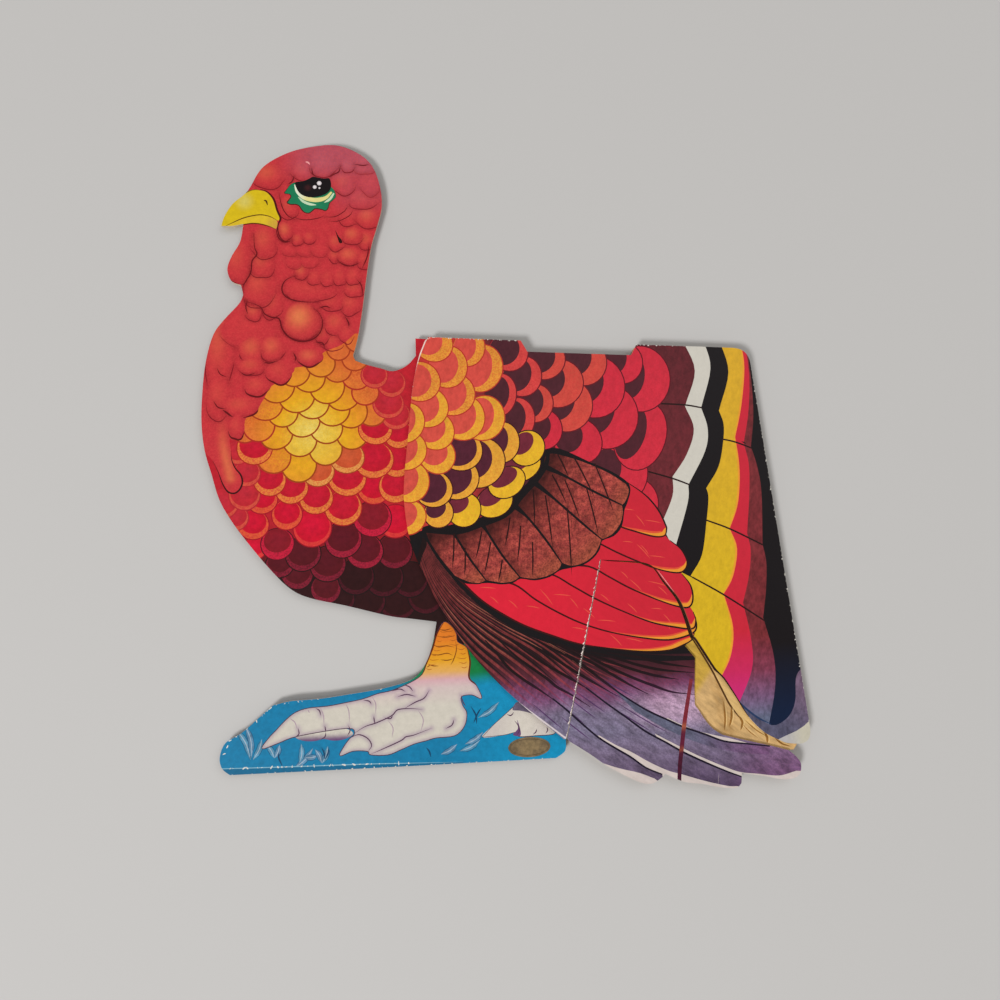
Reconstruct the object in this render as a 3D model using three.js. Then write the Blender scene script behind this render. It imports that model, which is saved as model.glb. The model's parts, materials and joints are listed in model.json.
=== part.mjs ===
// A printed card turkey for the Thanksgiving table, folded flat and lying on its right side.
// Millimetres. X runs from the breast to the tail, Y from the base line up to the crown and
// Z up through the folded stack. The figure is drawn from its front crease (x = 0) and from
// the base line that it stands on (y = 0), and the finished group is centred at the end.

import * as THREE from 'three';

// Card and folding sizes
const CARD = 0.8;
const PLY_GAP = 0.3;
const SLIT = 0.4;
const TAB_WIDTH = 12;
const FOLD_SETBACK = 0.5;

// Figure sizes
const BREAST_DEPTH = 94;
const BODY_LENGTH = 187.5;
const TIP_DROP = 17;
const LEG_HEIGHT = 64;
const BODY_HEIGHT = 136.5;
const HEAD_HEIGHT = 99.5;

// Back edge, tail and gusset sizes
const BACK_FALL = 8.5;
const TAIL_RAKE = 16.5;
const TAIL_TOP_RADIUS = 8;
const TAIL_FOOT_RADIUS = 9;
const RECESS_START = 58;
const RECESS_WIDTH = 57;
const RECESS_DEPTH = 5.5;
const RECESS_FLARE = 3;
const GUSSET_SHARE = 0.44;
const GUSSET_TRIM = 3;
const GUSSET_DROP = 1.5;

// Sticker sizes
const STICKER_LENGTH = 19.5;
const STICKER_WIDTH = 9;
const STICKER_CARD = 0.15;
const STICKER_FROM_BASE_END = 17;
const STICKER_FROM_BASE_LINE = 1;

// How finely a drawn curve is cut into straight edges
const CURVE_STEPS = 3;
const STICKER_SIDES = 28;

// The zones of the drawing: where each one ends as drawn, and the size that it is built to.
// Everything drawn in a zone stretches with that zone's size.
const ZONES_X = [[-94, -BREAST_DEPTH], [0, 0], [187.5, BODY_LENGTH]];
const ZONES_Y = [
  [-17, -TIP_DROP],
  [0, 0],
  [64, LEG_HEIGHT],
  [200.5, LEG_HEIGHT + BODY_HEIGHT],
  [300, LEG_HEIGHT + BODY_HEIGHT + HEAD_HEIGHT],
];

// The layers of the folded stack, counted from the one that lies on the table
const LAYER = CARD + PLY_GAP;
const STACK = ['side right', 'inner right', 'front right', 'front left', 'inner left', 'side left'];

function stretch(zones, drawn) {
  let index = 1;
  while (index < zones.length - 1 && drawn > zones[index][0]) index += 1;
  const [fromDrawn, fromBuilt] = zones[index - 1];
  const [toDrawn, toBuilt] = zones[index];
  const share = (drawn - fromDrawn) / (toDrawn - fromDrawn);
  return fromBuilt + share * (toBuilt - fromBuilt);
}

// A drawn point, at its built size
function at([x, y]) {
  return new THREE.Vector2(stretch(ZONES_X, x), stretch(ZONES_Y, y));
}

// A smooth run through drawn points, as a list of built points
function smooth(...drawn) {
  const curve = new THREE.SplineCurve(drawn.map(at));
  return curve.getPoints((drawn.length - 1) * CURVE_STEPS);
}

// A run of straight edges through drawn points
function straight(...drawn) {
  return drawn.map(at);
}

// A corner between two built directions, rounded by a quadratic curve
function rounded(before, corner, after, radius) {
  const start = corner.clone().lerp(before, radius / corner.distanceTo(before));
  const end = corner.clone().lerp(after, radius / corner.distanceTo(after));
  return new THREE.QuadraticBezierCurve(start, corner, end).getPoints(2 * CURVE_STEPS);
}

// An open run moved sideways by a distance, to the left of the way it goes
function beside(run, distance) {
  return run.map((point, index) => {
    const before = run[Math.max(index - 1, 0)];
    const after = run[Math.min(index + 1, run.length - 1)];
    const along = after.clone().sub(before).normalize();
    return new THREE.Vector2(point.x - along.y * distance, point.y + along.x * distance);
  });
}

// A sheet of card cut to an outline, lying in one layer of the stack
function sheet(name, runs, layer, material, thickness = CARD, lift = 0) {
  const shape = new THREE.Shape(withoutRepeats(runs.flat()));
  const geometry = new THREE.ExtrudeGeometry(shape, { depth: thickness, bevelEnabled: false });
  const mesh = new THREE.Mesh(geometry, material);
  mesh.name = name;
  mesh.position.z = STACK.indexOf(layer) * LAYER + lift;
  return mesh;
}

function withoutRepeats(points) {
  const nearest = SLIT / 4;
  return points.filter((point, index) => {
    const before = points[(index + points.length - 1) % points.length];
    return point.distanceTo(before) > nearest;
  });
}

// The back edge falls in a straight line from the front crease to the tail
const tailTopCorner = new THREE.Vector2(BODY_LENGTH - TAIL_RAKE, LEG_HEIGHT + BODY_HEIGHT - BACK_FALL);
const tailFootCorner = new THREE.Vector2(BODY_LENGTH, 0);

function backAt(x, drop = 0) {
  return new THREE.Vector2(x, LEG_HEIGHT + BODY_HEIGHT - (BACK_FALL * x) / tailTopCorner.x - drop);
}

// The tail fold is a straight line, and so is each line that shares its far meeting point
// with the front crease: a share of 1 is the tail fold and a share of 0 the front crease.
function foldLineAt(share, y) {
  const rise = (y - tailFootCorner.y) / (tailTopCorner.y - tailFootCorner.y);
  return new THREE.Vector2(share * (BODY_LENGTH - TAIL_RAKE * rise), y);
}

// The front board's outline: head, breast, leg and base in one piece. Its rear edge is hidden
// between the two sides, where their glue tabs hold it.
function frontBoardRuns() {
  const crown = smooth(
    [-85.5, 258], [-84, 263], [-80, 269.5], [-73, 276], [-66, 288], [-54.5, 295.5], [-42.5, 299],
    [-30.5, 300], [-20.5, 296.5], [-13, 290], [-9, 279.5], [-8, 268], [-10.5, 257.5],
    [-13.5, 247], [-16, 232], [-18, 217], [-20.5, 202], [-23, 192],
  );
  const nape = smooth(
    [-22, 189.5], [-17, 187.5], [-10, 185.5], [-5, 184], [-0.5, 185], [3.5, 187.5], [7, 191.5],
  );
  const shoulder = at([7, 191.5]);
  const hiddenRear = [
    backAt(shoulder.x),
    backAt(2 * TAB_WIDTH, FOLD_SETBACK),
    new THREE.Vector2(2 * TAB_WIDTH, at([24, 92]).y),
    ...straight([28, 64], [48, 42], [62, 26], [71, 16]),
  ];
  const baseEnd = smooth([71.5, 8], [71, 3], [66.5, 0]);
  const baseToe = smooth([-80, 0], [-83.5, 3], [-84.5, 8], [-82, 14], [-75, 18], [-66.5, 25], [-61, 29.5]);
  const instep = smooth(
    [-61, 29.5], [-53, 31], [-40, 31.5], [-26, 33], [-10.5, 35], [2, 38.5], [8, 45], [11.5, 54],
    [13.5, 63.5],
  );
  const belly = smooth(
    [13.5, 64], [1, 66], [-8, 67.5], [-28, 73], [-44, 77], [-53, 81.5], [-62, 90.5], [-72.5, 103.5],
    [-80, 114], [-85.5, 124], [-89, 135.5], [-92.5, 148], [-94, 162], [-93.5, 178.5], [-92, 191.5],
    [-89, 203], [-84.5, 210], [-77, 218.5], [-75, 223],
  );
  const wattle = smooth([-76, 228], [-80.5, 230], [-82.5, 236], [-80.5, 242.5], [-76.5, 250], [-75, 259]);
  const underBeak = straight([-80, 258]);
  return [crown, nape, hiddenRear, baseEnd, baseToe, instep, belly, wattle, underBeak];
}

// The side's front fold bows forward: its foremost point is the front crease. Drawn downwards.
function frontFold() {
  return [
    ...straight([13.5, 200]),
    ...smooth(
      [11, 197.5], [8, 188.5], [5, 174], [3, 156], [1, 139], [0, 128], [0, 119], [1.5, 106],
      [4.5, 95], [8.5, 86], [13, 75.5],
    ),
  ];
}

// The trailing feather edge, from the breast's foot down to the foot of the wing tip's hinge
function featherEdge() {
  return smooth([17.5, 66.5], [29, 49.5], [39, 37.5], [50, 26.5], [60, 17.5], [70.5, 8.5]);
}

// The wing tip's hinge score, drawn upwards, and the die cut that frees its upper edge
const hingeRun = straight([71.5, 9], [91.5, 90]);
const slitRun = smooth(
  [91.5, 90], [107.5, 88.5], [114.5, 87], [118, 84], [121, 79], [127.5, 70], [131, 60.5], [133, 53],
  [134.5, 51],
);

function sideBoardRuns() {
  const recessEnd = RECESS_START + RECESS_WIDTH;
  const recess = [
    backAt(recessEnd),
    backAt(recessEnd - RECESS_FLARE, RECESS_DEPTH),
    backAt(RECESS_START + RECESS_FLARE, RECESS_DEPTH),
    backAt(RECESS_START),
  ];
  const tailHem = smooth(
    [143, 36.5], [147, 32.5], [152, 24.5], [157.5, 15], [165, 7], [174.5, 2],
  );
  const footCorner = rounded(at([174.5, 2]), tailFootCorner, tailTopCorner, TAIL_FOOT_RADIUS);
  const topCorner = rounded(tailFootCorner, tailTopCorner, backAt(recessEnd), TAIL_TOP_RADIUS);
  return [frontFold(), featherEdge(), hingeRun, slitRun, tailHem, footCorner, topCorner, recess];
}

// The wing tip: three long feathers, cut free of the side along the slit and hinged on the score
function wingTipRuns() {
  const hinge = beside(hingeRun, -SLIT);
  const upperEdge = beside(slitRun.slice(1, -1), -SLIT);
  const crescent = straight([129.5, 48.5], [134, 42.5]);
  const crescentFoot = smooth(
    [132.5, 21.5], [138, 12.5], [143, 8], [148, 6], [167, 1], [175.5, -1.5],
  );
  const topFeather = smooth(
    [179, -4.5], [181, -8], [179.5, -13], [173, -14.5], [163, -12.5], [152.5, -10.5],
  );
  const middleFeather = smooth(
    [152, -15], [149.5, -17], [142.5, -16.5], [134, -14.5], [125, -13], [116.5, -9],
  );
  const lowestFeather = smooth(
    [115, -10.5], [110.5, -13], [105.5, -12.5], [99, -9.5], [89.5, -4], [82, 1.5], [73, 7.5],
  );
  return [hinge, upperEdge, crescent, crescentFoot, topFeather, middleFeather, lowestFeather];
}

// The strip that turns under at the front fold and is glued to the front board
function glueTabRuns() {
  const fold = frontFold().slice(1);
  return [beside(fold, FOLD_SETBACK), beside(fold, TAB_WIDTH).reverse()];
}

// Half of the back panel, folded inwards from the tail fold. Its inner edge is the panel's
// middle crease, which meets the tail fold's line and the front crease at one far point.
// Its foot shows as a narrow strip under the tail's hem.
function backPanelRuns() {
  const top = tailTopCorner.y - TAIL_TOP_RADIUS - GUSSET_TRIM;
  const foldFoot = tailFootCorner.y + TAIL_FOOT_RADIUS;
  const foot = tailFootCorner.y - GUSSET_DROP;
  const middleShare = 1 - GUSSET_SHARE;
  const tailShare = 1 - FOLD_SETBACK / BODY_LENGTH;
  const footCorner = new THREE.Vector2(tailFootCorner.x - TAIL_FOOT_RADIUS, foot);
  return [[
    footCorner,
    foldLineAt(tailShare, foldFoot),
    foldLineAt(tailShare, top),
    foldLineAt(middleShare, top),
    foldLineAt(middleShare, foot),
  ]];
}

// A plain oval sticker on the base
function stickerRun() {
  const centreX = stretch(ZONES_X, 71.5) - STICKER_FROM_BASE_END;
  const centreY = STICKER_WIDTH / 2 + STICKER_FROM_BASE_LINE;
  const oval = new THREE.EllipseCurve(centreX, centreY, STICKER_LENGTH / 2, STICKER_WIDTH / 2);
  return oval.getPoints(STICKER_SIDES).slice(0, -1);
}

function card(colour, roughness = 0.5) {
  return new THREE.MeshStandardMaterial({ color: colour, roughness, metalness: 0 });
}

const turkey = new THREE.Group();
turkey.add(
  sheet('side_board_right', sideBoardRuns(), 'side right', card('#a3242b')),
  sheet('wing_tip_right', wingTipRuns(), 'side right', card('#6b4a78')),
  sheet('front_glue_tab_right', glueTabRuns(), 'inner right', card('#b98e55', 0.8)),
  sheet('back_panel_right', backPanelRuns(), 'inner right', card('#b98e55', 0.8)),
  sheet('front_board_right', frontBoardRuns(), 'front right', card('#b5302a')),
  sheet('front_board_left', frontBoardRuns(), 'front left', card('#b5302a')),
  sheet('oval_sticker', [stickerRun()], 'front left', card('#8a6a2f', 0.4), STICKER_CARD, CARD),
  sheet('front_glue_tab_left', glueTabRuns(), 'inner left', card('#b98e55', 0.8)),
  sheet('back_panel_left', backPanelRuns(), 'inner left', card('#b98e55', 0.8)),
  sheet('side_board_left', sideBoardRuns(), 'side left', card('#a3242b')),
  sheet('wing_tip_left', wingTipRuns(), 'side left', card('#6b4a78')),
);

// The origin is on the table, under the middle of the folded figure
const reach = new THREE.Box3().setFromObject(turkey);
const middle = reach.getCenter(new THREE.Vector3());
turkey.position.set(-middle.x, -middle.y, -reach.min.z);
turkey.updateMatrixWorld(true);

export default turkey;
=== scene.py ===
# A printed card turkey, folded flat: its looks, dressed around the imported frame.
# The print is drawn in millimetres from the front crease and the base line, as the card is cut.

import json
import math
import random

import bpy
import numpy as np
from mathutils import Matrix, Vector
from mathutils.geometry import delaunay_2d_cdt


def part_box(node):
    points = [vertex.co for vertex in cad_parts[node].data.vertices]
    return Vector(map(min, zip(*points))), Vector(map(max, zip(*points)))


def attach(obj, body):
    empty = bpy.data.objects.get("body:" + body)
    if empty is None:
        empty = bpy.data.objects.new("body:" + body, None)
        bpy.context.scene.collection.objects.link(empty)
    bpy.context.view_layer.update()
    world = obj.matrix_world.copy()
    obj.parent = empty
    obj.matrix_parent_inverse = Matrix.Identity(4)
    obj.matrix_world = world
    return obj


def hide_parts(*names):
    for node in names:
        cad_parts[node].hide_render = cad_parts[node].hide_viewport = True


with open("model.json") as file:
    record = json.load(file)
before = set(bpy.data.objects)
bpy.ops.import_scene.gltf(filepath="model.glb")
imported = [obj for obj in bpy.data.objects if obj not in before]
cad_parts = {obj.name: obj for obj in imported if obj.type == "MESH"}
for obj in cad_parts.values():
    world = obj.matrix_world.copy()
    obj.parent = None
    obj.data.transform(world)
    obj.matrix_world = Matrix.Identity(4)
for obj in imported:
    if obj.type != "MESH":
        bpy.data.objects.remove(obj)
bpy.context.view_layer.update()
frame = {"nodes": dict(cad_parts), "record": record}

# The drawing plane
MM = 0.001
BREAST_DEPTH = 94.0
front_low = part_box("front_board_left")[0]
ORIGIN = np.array([front_low.x / MM + BREAST_DEPTH, front_low.y / MM])

# How finely things are cut: steps of a curve, sides of an oval, then millimetres
CURVE_STEPS = 5
OVAL_SIDES = 30
GRID = 1.6
NECK_GRID = 0.62
FOOT_GRID = 0.9
WELD = 0.0005

SEED = 7
# The light that the sheen adds to every ink
GLOSS = 0.004


def ink(red, green, blue):
    """A colour as the eye sees it, 0 to 255, as the light that the ink reflects below its sheen."""
    share = np.array([red, green, blue]) / 255.0
    light = np.where(share <= 0.04045, share / 12.92, ((share + 0.055) / 1.055) ** 2.4)
    return np.maximum(light - GLOSS, 0.003)


# Inks of the print
BLACK = ink(26, 22, 24)
BROWN_BLACK = ink(40, 18, 20)
NAVY = ink(18, 32, 58)
WHITE_CARD = ink(222, 216, 206)
CREAM = ink(223, 191, 86)
YELLOW = ink(222, 174, 38)
GOLD = ink(224, 158, 34)
ORANGE = ink(220, 130, 48)
AMBER = ink(226, 150, 56)
BURNT = ink(205, 92, 48)
RED = ink(200, 40, 54)
MAROON = ink(78, 36, 44)
BROWN_LINE = ink(156, 66, 26)
SKIN = ink(195, 50, 58)
CROWN = ink(180, 79, 94)
SKIN_LIT = ink(226, 124, 76)
SKIN_FOLD = ink(112, 16, 28)
SKIN_SPECKS = ink(214, 80, 72)
BEAK = ink(214, 184, 28)
GREEN = ink(30, 120, 82)
LEG_ORANGE = ink(222, 122, 36)
FOOT = ink(206, 199, 186)
FOOT_PINK = ink(212, 168, 174)
BLUE = ink(0, 121, 164)
GRASS = ink(86, 140, 168)
KRAFT = ink(204, 166, 112)


def smoothstep(low, high, value):
    share = np.clip((value - low) / (high - low), 0.0, 1.0)
    return share * share * (3.0 - 2.0 * share)


# Curves

def curve(points, closed=False, steps=CURVE_STEPS):
    """A smooth run through given points."""
    known = np.asarray(points, float)
    count = len(known)
    spans = count if closed else count - 1
    run = []
    for index in range(spans):
        here, there = known[index], known[(index + 1) % count]
        if closed:
            before, after = known[index - 1], known[(index + 2) % count]
        else:
            before = known[index - 1] if index else 2 * here - there
            after = known[index + 2] if index + 2 < count else 2 * there - here
        for step in range(steps):
            part = step / steps
            run.append(0.5 * (2 * here + (there - before) * part
                              + (2 * before - 5 * here + 4 * there - after) * part ** 2
                              + (3 * here - before - 3 * there + after) * part ** 3))
    if not closed:
        run.append(known[-1])
    return np.array(run)


def oval(x, y, half_long, half_wide, turn=0.0, wobble=0.0):
    """A closed oval, its long way turned, with a slight hand-drawn wobble."""
    angle = np.linspace(0, 2 * math.pi, OVAL_SIDES, endpoint=False)
    hand = 1 + wobble * (np.sin(2 * angle + x) + 0.7 * np.sin(3 * angle + y))
    along, across = half_long * hand * np.cos(angle), half_wide * hand * np.sin(angle)
    cosine, sine = math.cos(turn), math.sin(turn)
    return np.stack([x + cosine * along - sine * across, y + sine * along + cosine * across], axis=1)


def ribbon(points, width, start=0.25, end=0.25):
    """A drawn line as a closed outline: full width in its middle, the given share at each end."""
    run = np.asarray(points, float)
    way = np.gradient(run, axis=0)
    way /= np.maximum(np.hypot(way[:, 0], way[:, 1]), 1e-9)[:, None]
    side = np.stack([-way[:, 1], way[:, 0]], axis=1)
    share = np.linspace(0, 1, len(run))
    swell = np.interp(share, [0, 0.3, 0.7, 1], [start, 1, 1, end])
    half = (0.5 * width * swell)[:, None] * side
    return np.concatenate([run + half, (run - half)[::-1]])


def along(run, share):
    """A point at a share of the way along a run."""
    steps = np.hypot(*np.diff(run, axis=0).T)
    reach = np.concatenate([[0], np.cumsum(steps)])
    goal = share * reach[-1]
    return np.array([np.interp(goal, reach, run[:, 0]), np.interp(goal, reach, run[:, 1])])


# Paints: each gives a colour for every point of a shape

def flat(colour):
    return lambda points: np.tile(colour, (len(points), 1))


def fade(first, second, start, end):
    start, end = np.array(start, float), np.array(end, float)
    way = end - start

    def paint(points):
        share = smoothstep(0, 1, (points - start) @ way / (way @ way))
        return first + share[:, None] * (second - first)
    return paint


def glow(middle, rim, x, y, reach):
    def paint(points):
        share = smoothstep(0, 1, np.hypot(points[:, 0] - x, points[:, 1] - y) / reach)
        return middle + share[:, None] * (rim - middle)
    return paint


def by_height(heights, inks):
    """A paint that changes with height, through a list of inks."""
    table = np.array(inks)

    def paint(points):
        return np.stack([np.interp(points[:, 1], heights, channel) for channel in table.T], axis=1)
    return paint


class Picture:
    """Shapes in the order that they are painted: outline, paint, how mottled the ink is, its specks."""

    def __init__(self):
        self.shapes = []

    def fill(self, outline, paint, mottle=0.25, specks=None, share=0.5):
        if not callable(paint):
            paint = flat(paint)
        dots = np.append(BLACK, 0.0) if specks is None else np.append(specks, share)
        self.shapes.append((np.asarray(outline, float), paint, mottle, dots))

    def line(self, points, width, paint, start=0.25, end=0.25, mottle=0.15, smooth=True):
        run = curve(points) if smooth else np.asarray(points, float)
        self.fill(ribbon(run, width, start, end), paint, mottle)

    def scale(self, x, y, long, wide, aim, kind, face=None, line_width=0.5):
        """A rounded feather scale: a dark line, a rim that is widest where it aims, a face."""
        plain_face, rim, rim_width, line, specks = kind
        face = plain_face if face is None else face
        turn = math.radians(aim)
        ahead = np.array([math.cos(turn), math.sin(turn)])
        self.fill(oval(x, y, long + line_width, wide + line_width, turn, 0.012), line, 0.1)
        if rim is None:
            self.fill(oval(x, y, long, wide, turn, 0.012), face, 0.3, specks, 0.45)
            return
        self.fill(oval(x, y, long, wide, turn, 0.012), rim, 0.3, specks, 0.6)
        back = np.array([x, y]) - ahead * rim_width * 0.5
        self.fill(oval(*back, long - 0.5 * rim_width, wide - 0.36 * rim_width, turn, 0.012), face, 0.4)


# The breast: overlapping scales, from a yellow glow out to red and down to maroon.
# Each scale: place, radius and kind.

BREAST_KINDS = {
    "cream": (CREAM, None, 0, BROWN_LINE, YELLOW),
    "yellow": (YELLOW, None, 0, BROWN_LINE, ink(226, 150, 40)),
    "gold": (GOLD, None, 0, BROWN_LINE, ORANGE),
    "orange": (ORANGE, None, 0, ink(165, 62, 30), BURNT),
    "burnt": (BURNT, None, 0, ink(170, 48, 36), ink(226, 130, 54)),
    "ring": (ink(194, 26, 50), ink(224, 128, 58), 2.9, ink(168, 36, 34), RED),
    "pale ring": (ink(202, 88, 52), ink(222, 152, 78), 2.4, ink(160, 62, 34), BURNT),
    "ember": (ink(202, 16, 50), ink(218, 88, 52), 2.6, ink(160, 18, 38), RED),
    "faint": (ink(190, 42, 56), ink(208, 84, 62), 1.7, ink(176, 38, 48), RED),
    "red": (ink(205, 18, 52), ink(218, 60, 54), 2.0, ink(150, 14, 36), RED),
    "wine": (ink(132, 26, 40), ink(198, 30, 60), 3.2, ink(88, 16, 30), ink(140, 24, 44)),
    "plum": (ink(94, 22, 34), ink(160, 32, 54), 2.8, ink(52, 14, 22), ink(110, 22, 42)),
    "dusk": (ink(88, 22, 32), ink(128, 30, 48), 2.4, ink(42, 13, 19), ink(72, 20, 30)),
    "night": (ink(48, 17, 22), ink(74, 22, 32), 2.0, ink(32, 12, 16), ink(44, 16, 22)),
}

BREAST_SCALES = [
    (-20.5, 199.6, 5.6, "orange"), (-30, 195.5, 5.2, "orange"), (-22, 191, 6, "orange"),
    (-38.5, 188.5, 6.4, "gold"), (-30.5, 185.7, 6.2, "orange"), (-21.5, 182, 6.4, "burnt"),
    (-51, 184.5, 6.8, "gold"), (-44, 182, 7.2, "yellow"), (-13, 182, 6, "faint"), (-5, 178, 6.5, "faint"),
    (-59, 177.5, 7.6, "gold"), (-35.5, 177, 7.8, "yellow"), (-50, 173, 8, "yellow"),
    (-28, 173, 7.5, "gold"), (-17.5, 174, 6, "burnt"), (-6.6, 168, 7, "faint"),
    (-64.5, 169, 7.6, "orange"), (-42.5, 169.5, 7.6, "cream"), (-56.5, 165, 6.8, "yellow"),
    (-33, 165.5, 7.4, "yellow"), (-24.5, 164.5, 7.4, "gold"), (-14.5, 164, 6.4, "orange"),
    (-74, 157, 6, "burnt"), (-67.5, 158.5, 7, "burnt"), (-47, 160.5, 7.4, "cream"),
    (-36, 157, 7.2, "cream"), (-13, 156, 7.6, "ring"), (-3, 162, 6.5, "faint"),
    (-59.5, 154.5, 7.1, "gold"), (-24, 153.7, 7, "yellow"), (-2, 153, 6.6, "ring"),
    (-48.5, 151.5, 7.6, "cream"), (-69.5, 148, 7.8, "ring"), (-77, 146, 5.4, "faint"),
    (-36.5, 146.7, 7.3, "cream"), (-60.5, 143.5, 7.4, "orange"), (-26.5, 142.5, 7.6, "pale ring"),
    (-14, 141, 8.8, "ring"), (-3, 140, 7.4, "ring"), (-49, 139.5, 7.8, "yellow"),
    (-40, 136, 7, "pale ring"), (-73, 136, 6, "faint"), (-62.5, 132.5, 7.2, "ring"),
    (-26.5, 132.5, 8.4, "ring"), (-84, 122, 7, "faint"), (-52.5, 128.5, 7.3, "ring"),
    (-14, 127.5, 7.6, "ember"), (-4, 128, 7.6, "ring"), (-74, 126, 7, "faint"), (-41, 123.5, 7.4, "ring"),
    (-65.8, 123.5, 6.6, "ember"), (-28.5, 118.5, 8.2, "ring"), (-54.6, 116, 6.8, "ember"),
    (-78, 115, 5.5, "faint"), (-4.4, 111.4, 7.6, "red"), (-15, 113, 8.4, "wine"),
    (-70, 111.8, 6.8, "ember"), (-43, 109.5, 8.6, "red"), (-28.8, 103.5, 8.2, "plum"),
    (-59, 102.5, 7.2, "wine"), (-69, 101, 5, "red"), (-19, 98, 8.2, "plum"), (-47.3, 97.5, 7.8, "dusk"),
    (-5, 97.5, 8, "dusk"), (-36, 92.5, 8, "dusk"), (-58, 93, 6, "dusk"), (-50, 88.5, 7, "dusk"),
    (-23, 86, 8, "night"), (-10, 85, 8.4, "night"), (-37, 81, 6.6, "dusk"), (2, 84, 8, "night"),
    (-47, 80, 6, "night"), (-18, 75, 8, "night"), (-4, 74, 8.4, "night"), (9, 76, 8, "night"),
    (-30, 76, 6, "night"),
]


# The glow on the breast: its middle, and its inks from there outwards
GLOW_MIDDLE = np.array([-43.0, 156.0])
GLOW_REACH = [0, 9, 16, 23, 29, 38]
GLOW_INKS = [
    ink(228, 206, 112), ink(222, 184, 62), ink(220, 160, 28), ink(216, 136, 34), ink(210, 112, 44),
    ink(202, 86, 48),
]


def lit_scale(face, y, radius):
    """A plain scale's face: warmer away from the glow, and darker towards its top."""
    def paint(points):
        far = np.hypot(*(points - GLOW_MIDDLE).T)
        warm = by_height(GLOW_REACH, GLOW_INKS)(np.stack([far, far], axis=1))
        top = smoothstep(-0.4, 0.9, (points[:, 1] - y) / radius)
        return (face + 0.65 * (warm - face)) * (1.06 - top[:, None] * np.array([0.08, 0.26, 0.4]))
    return paint


def draw_breast(picture):
    picture.fill([(-98, 50), (30, 50), (30, 310), (-98, 310)],
                 fade(BROWN_BLACK, ink(186, 34, 46), (0, 86), (0, 118)), 0.35)
    for x, y, radius, kind in sorted(BREAST_SCALES, key=lambda scale: scale[1]):
        face = BREAST_KINDS[kind][0]
        if BREAST_KINDS[kind][1] is None:
            shaded, line_width = lit_scale(face, y, radius), 0.75
        else:
            deep = np.array([0.95, 0.8, 0.7])
            shaded, line_width = glow(face, face * deep, x, y + 0.25 * radius, radius * 1.1), 0.5
        picture.scale(x, y, radius, radius * 1.02, -90, BREAST_KINDS[kind], shaded, line_width)


# The bare skin of head, neck and wattles: soft swellings.
# Each swelling: place, half width, half height and how brightly its top is lit.

SWELLINGS = [
    (-86, 196, 7, 22, 0.35), (-72, 206, 14, 10, 0.04), (-70.5, 195.5, 6.5, 7, 0.5),
    (-61, 196, 6, 6.5, 0.5), (-71, 187.5, 6.5, 4.6, 0.3), (-86, 172, 6, 11, 0.15),
    (-43.6, 191.6, 6.4, 4.6, 0.55), (-58, 184.6, 6.3, 6.2, 0.15), (-68.4, 177.6, 6.2, 4.8, 0.2),
    (-75.8, 168, 8.8, 5.2, 0.25), (-77.8, 158, 3.8, 6, 0.15), (-33, 199, 6, 4.5, 0.2),
    (-37.5, 203, 4, 5, 0.2), (-31, 208, 6, 5.8, 0.3), (-26, 203, 4, 5, 0.1), (-70, 214.5, 4.4, 4.8, 0.4),
    (-24, 217.5, 5.5, 5.6, 0.2), (-61.5, 218, 5.6, 7.4, 0.2), (-33, 218.6, 6, 4.4, 0.12),
    (-22, 225.6, 5.2, 4.6, 0.2), (-43, 225, 13.6, 6, 0.1), (-67.4, 227, 8.4, 11, 0.25),
    (-41, 231.4, 4, 4, 0.12), (-47.4, 234.4, 3.4, 4.4, 0.5), (-34.8, 231, 3.6, 4.4, 0.1),
    (-28.8, 231.6, 3.6, 4.6, 0.12), (-22.4, 231.8, 4, 4.6, 0.15), (-77.6, 240, 6.5, 12, 0.25),
    (-66, 239, 6.4, 8, 0.3), (-50.4, 239.4, 4.6, 3.6, 0.03), (-43, 240, 4.8, 3.8, 0.03),
    (-52.4, 245.4, 4.4, 3.4, 0.03), (-45.4, 245, 4.2, 3.2, 0.03), (-38.6, 245.4, 4.4, 3.8, 0.03),
    (-65, 249.5, 6.6, 9, 0.3), (-31, 242.6, 3.6, 4, 0.3), (-24, 242.2, 6.4, 4.8, 0.5),
    (-16.6, 240, 4, 5, 0.15), (-49, 250.8, 3.2, 3.2, 0.3), (-43.2, 251.8, 3.4, 3.4, 0.2),
    (-30.4, 249, 4.2, 4.4, 0.3), (-15.6, 250, 4.6, 5, 0.35), (-22.4, 252.6, 5.2, 4.8, 0.5),
    (-55, 255, 3.8, 5.2, 0.6), (-24, 262.6, 6, 5, 0.1), (-14.8, 262, 6, 6, 0.42),
    (-53.4, 267.4, 5, 6.6, 0.2), (-17, 271.2, 7.6, 5, 0.15), (-13.5, 280, 5.6, 7, 0.05),
    (-26.4, 279.8, 6.1, 6.2, 0.25), (-16, 289, 6, 4.6, 0.04), (-24.2, 289.2, 3.6, 3.7, 0.25),
    (-63, 284, 9, 7, 0.42), (-46.4, 286.4, 5.6, 5.4, 0.2), (-36.2, 290.6, 7.6, 7.6, 0.15),
    (-47.3, 209.4, 9.2, 9.8, 1.3),
]

# The swellings that hang over the breast's scales
HEM_LOBES = SWELLINGS[6:11]

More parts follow.
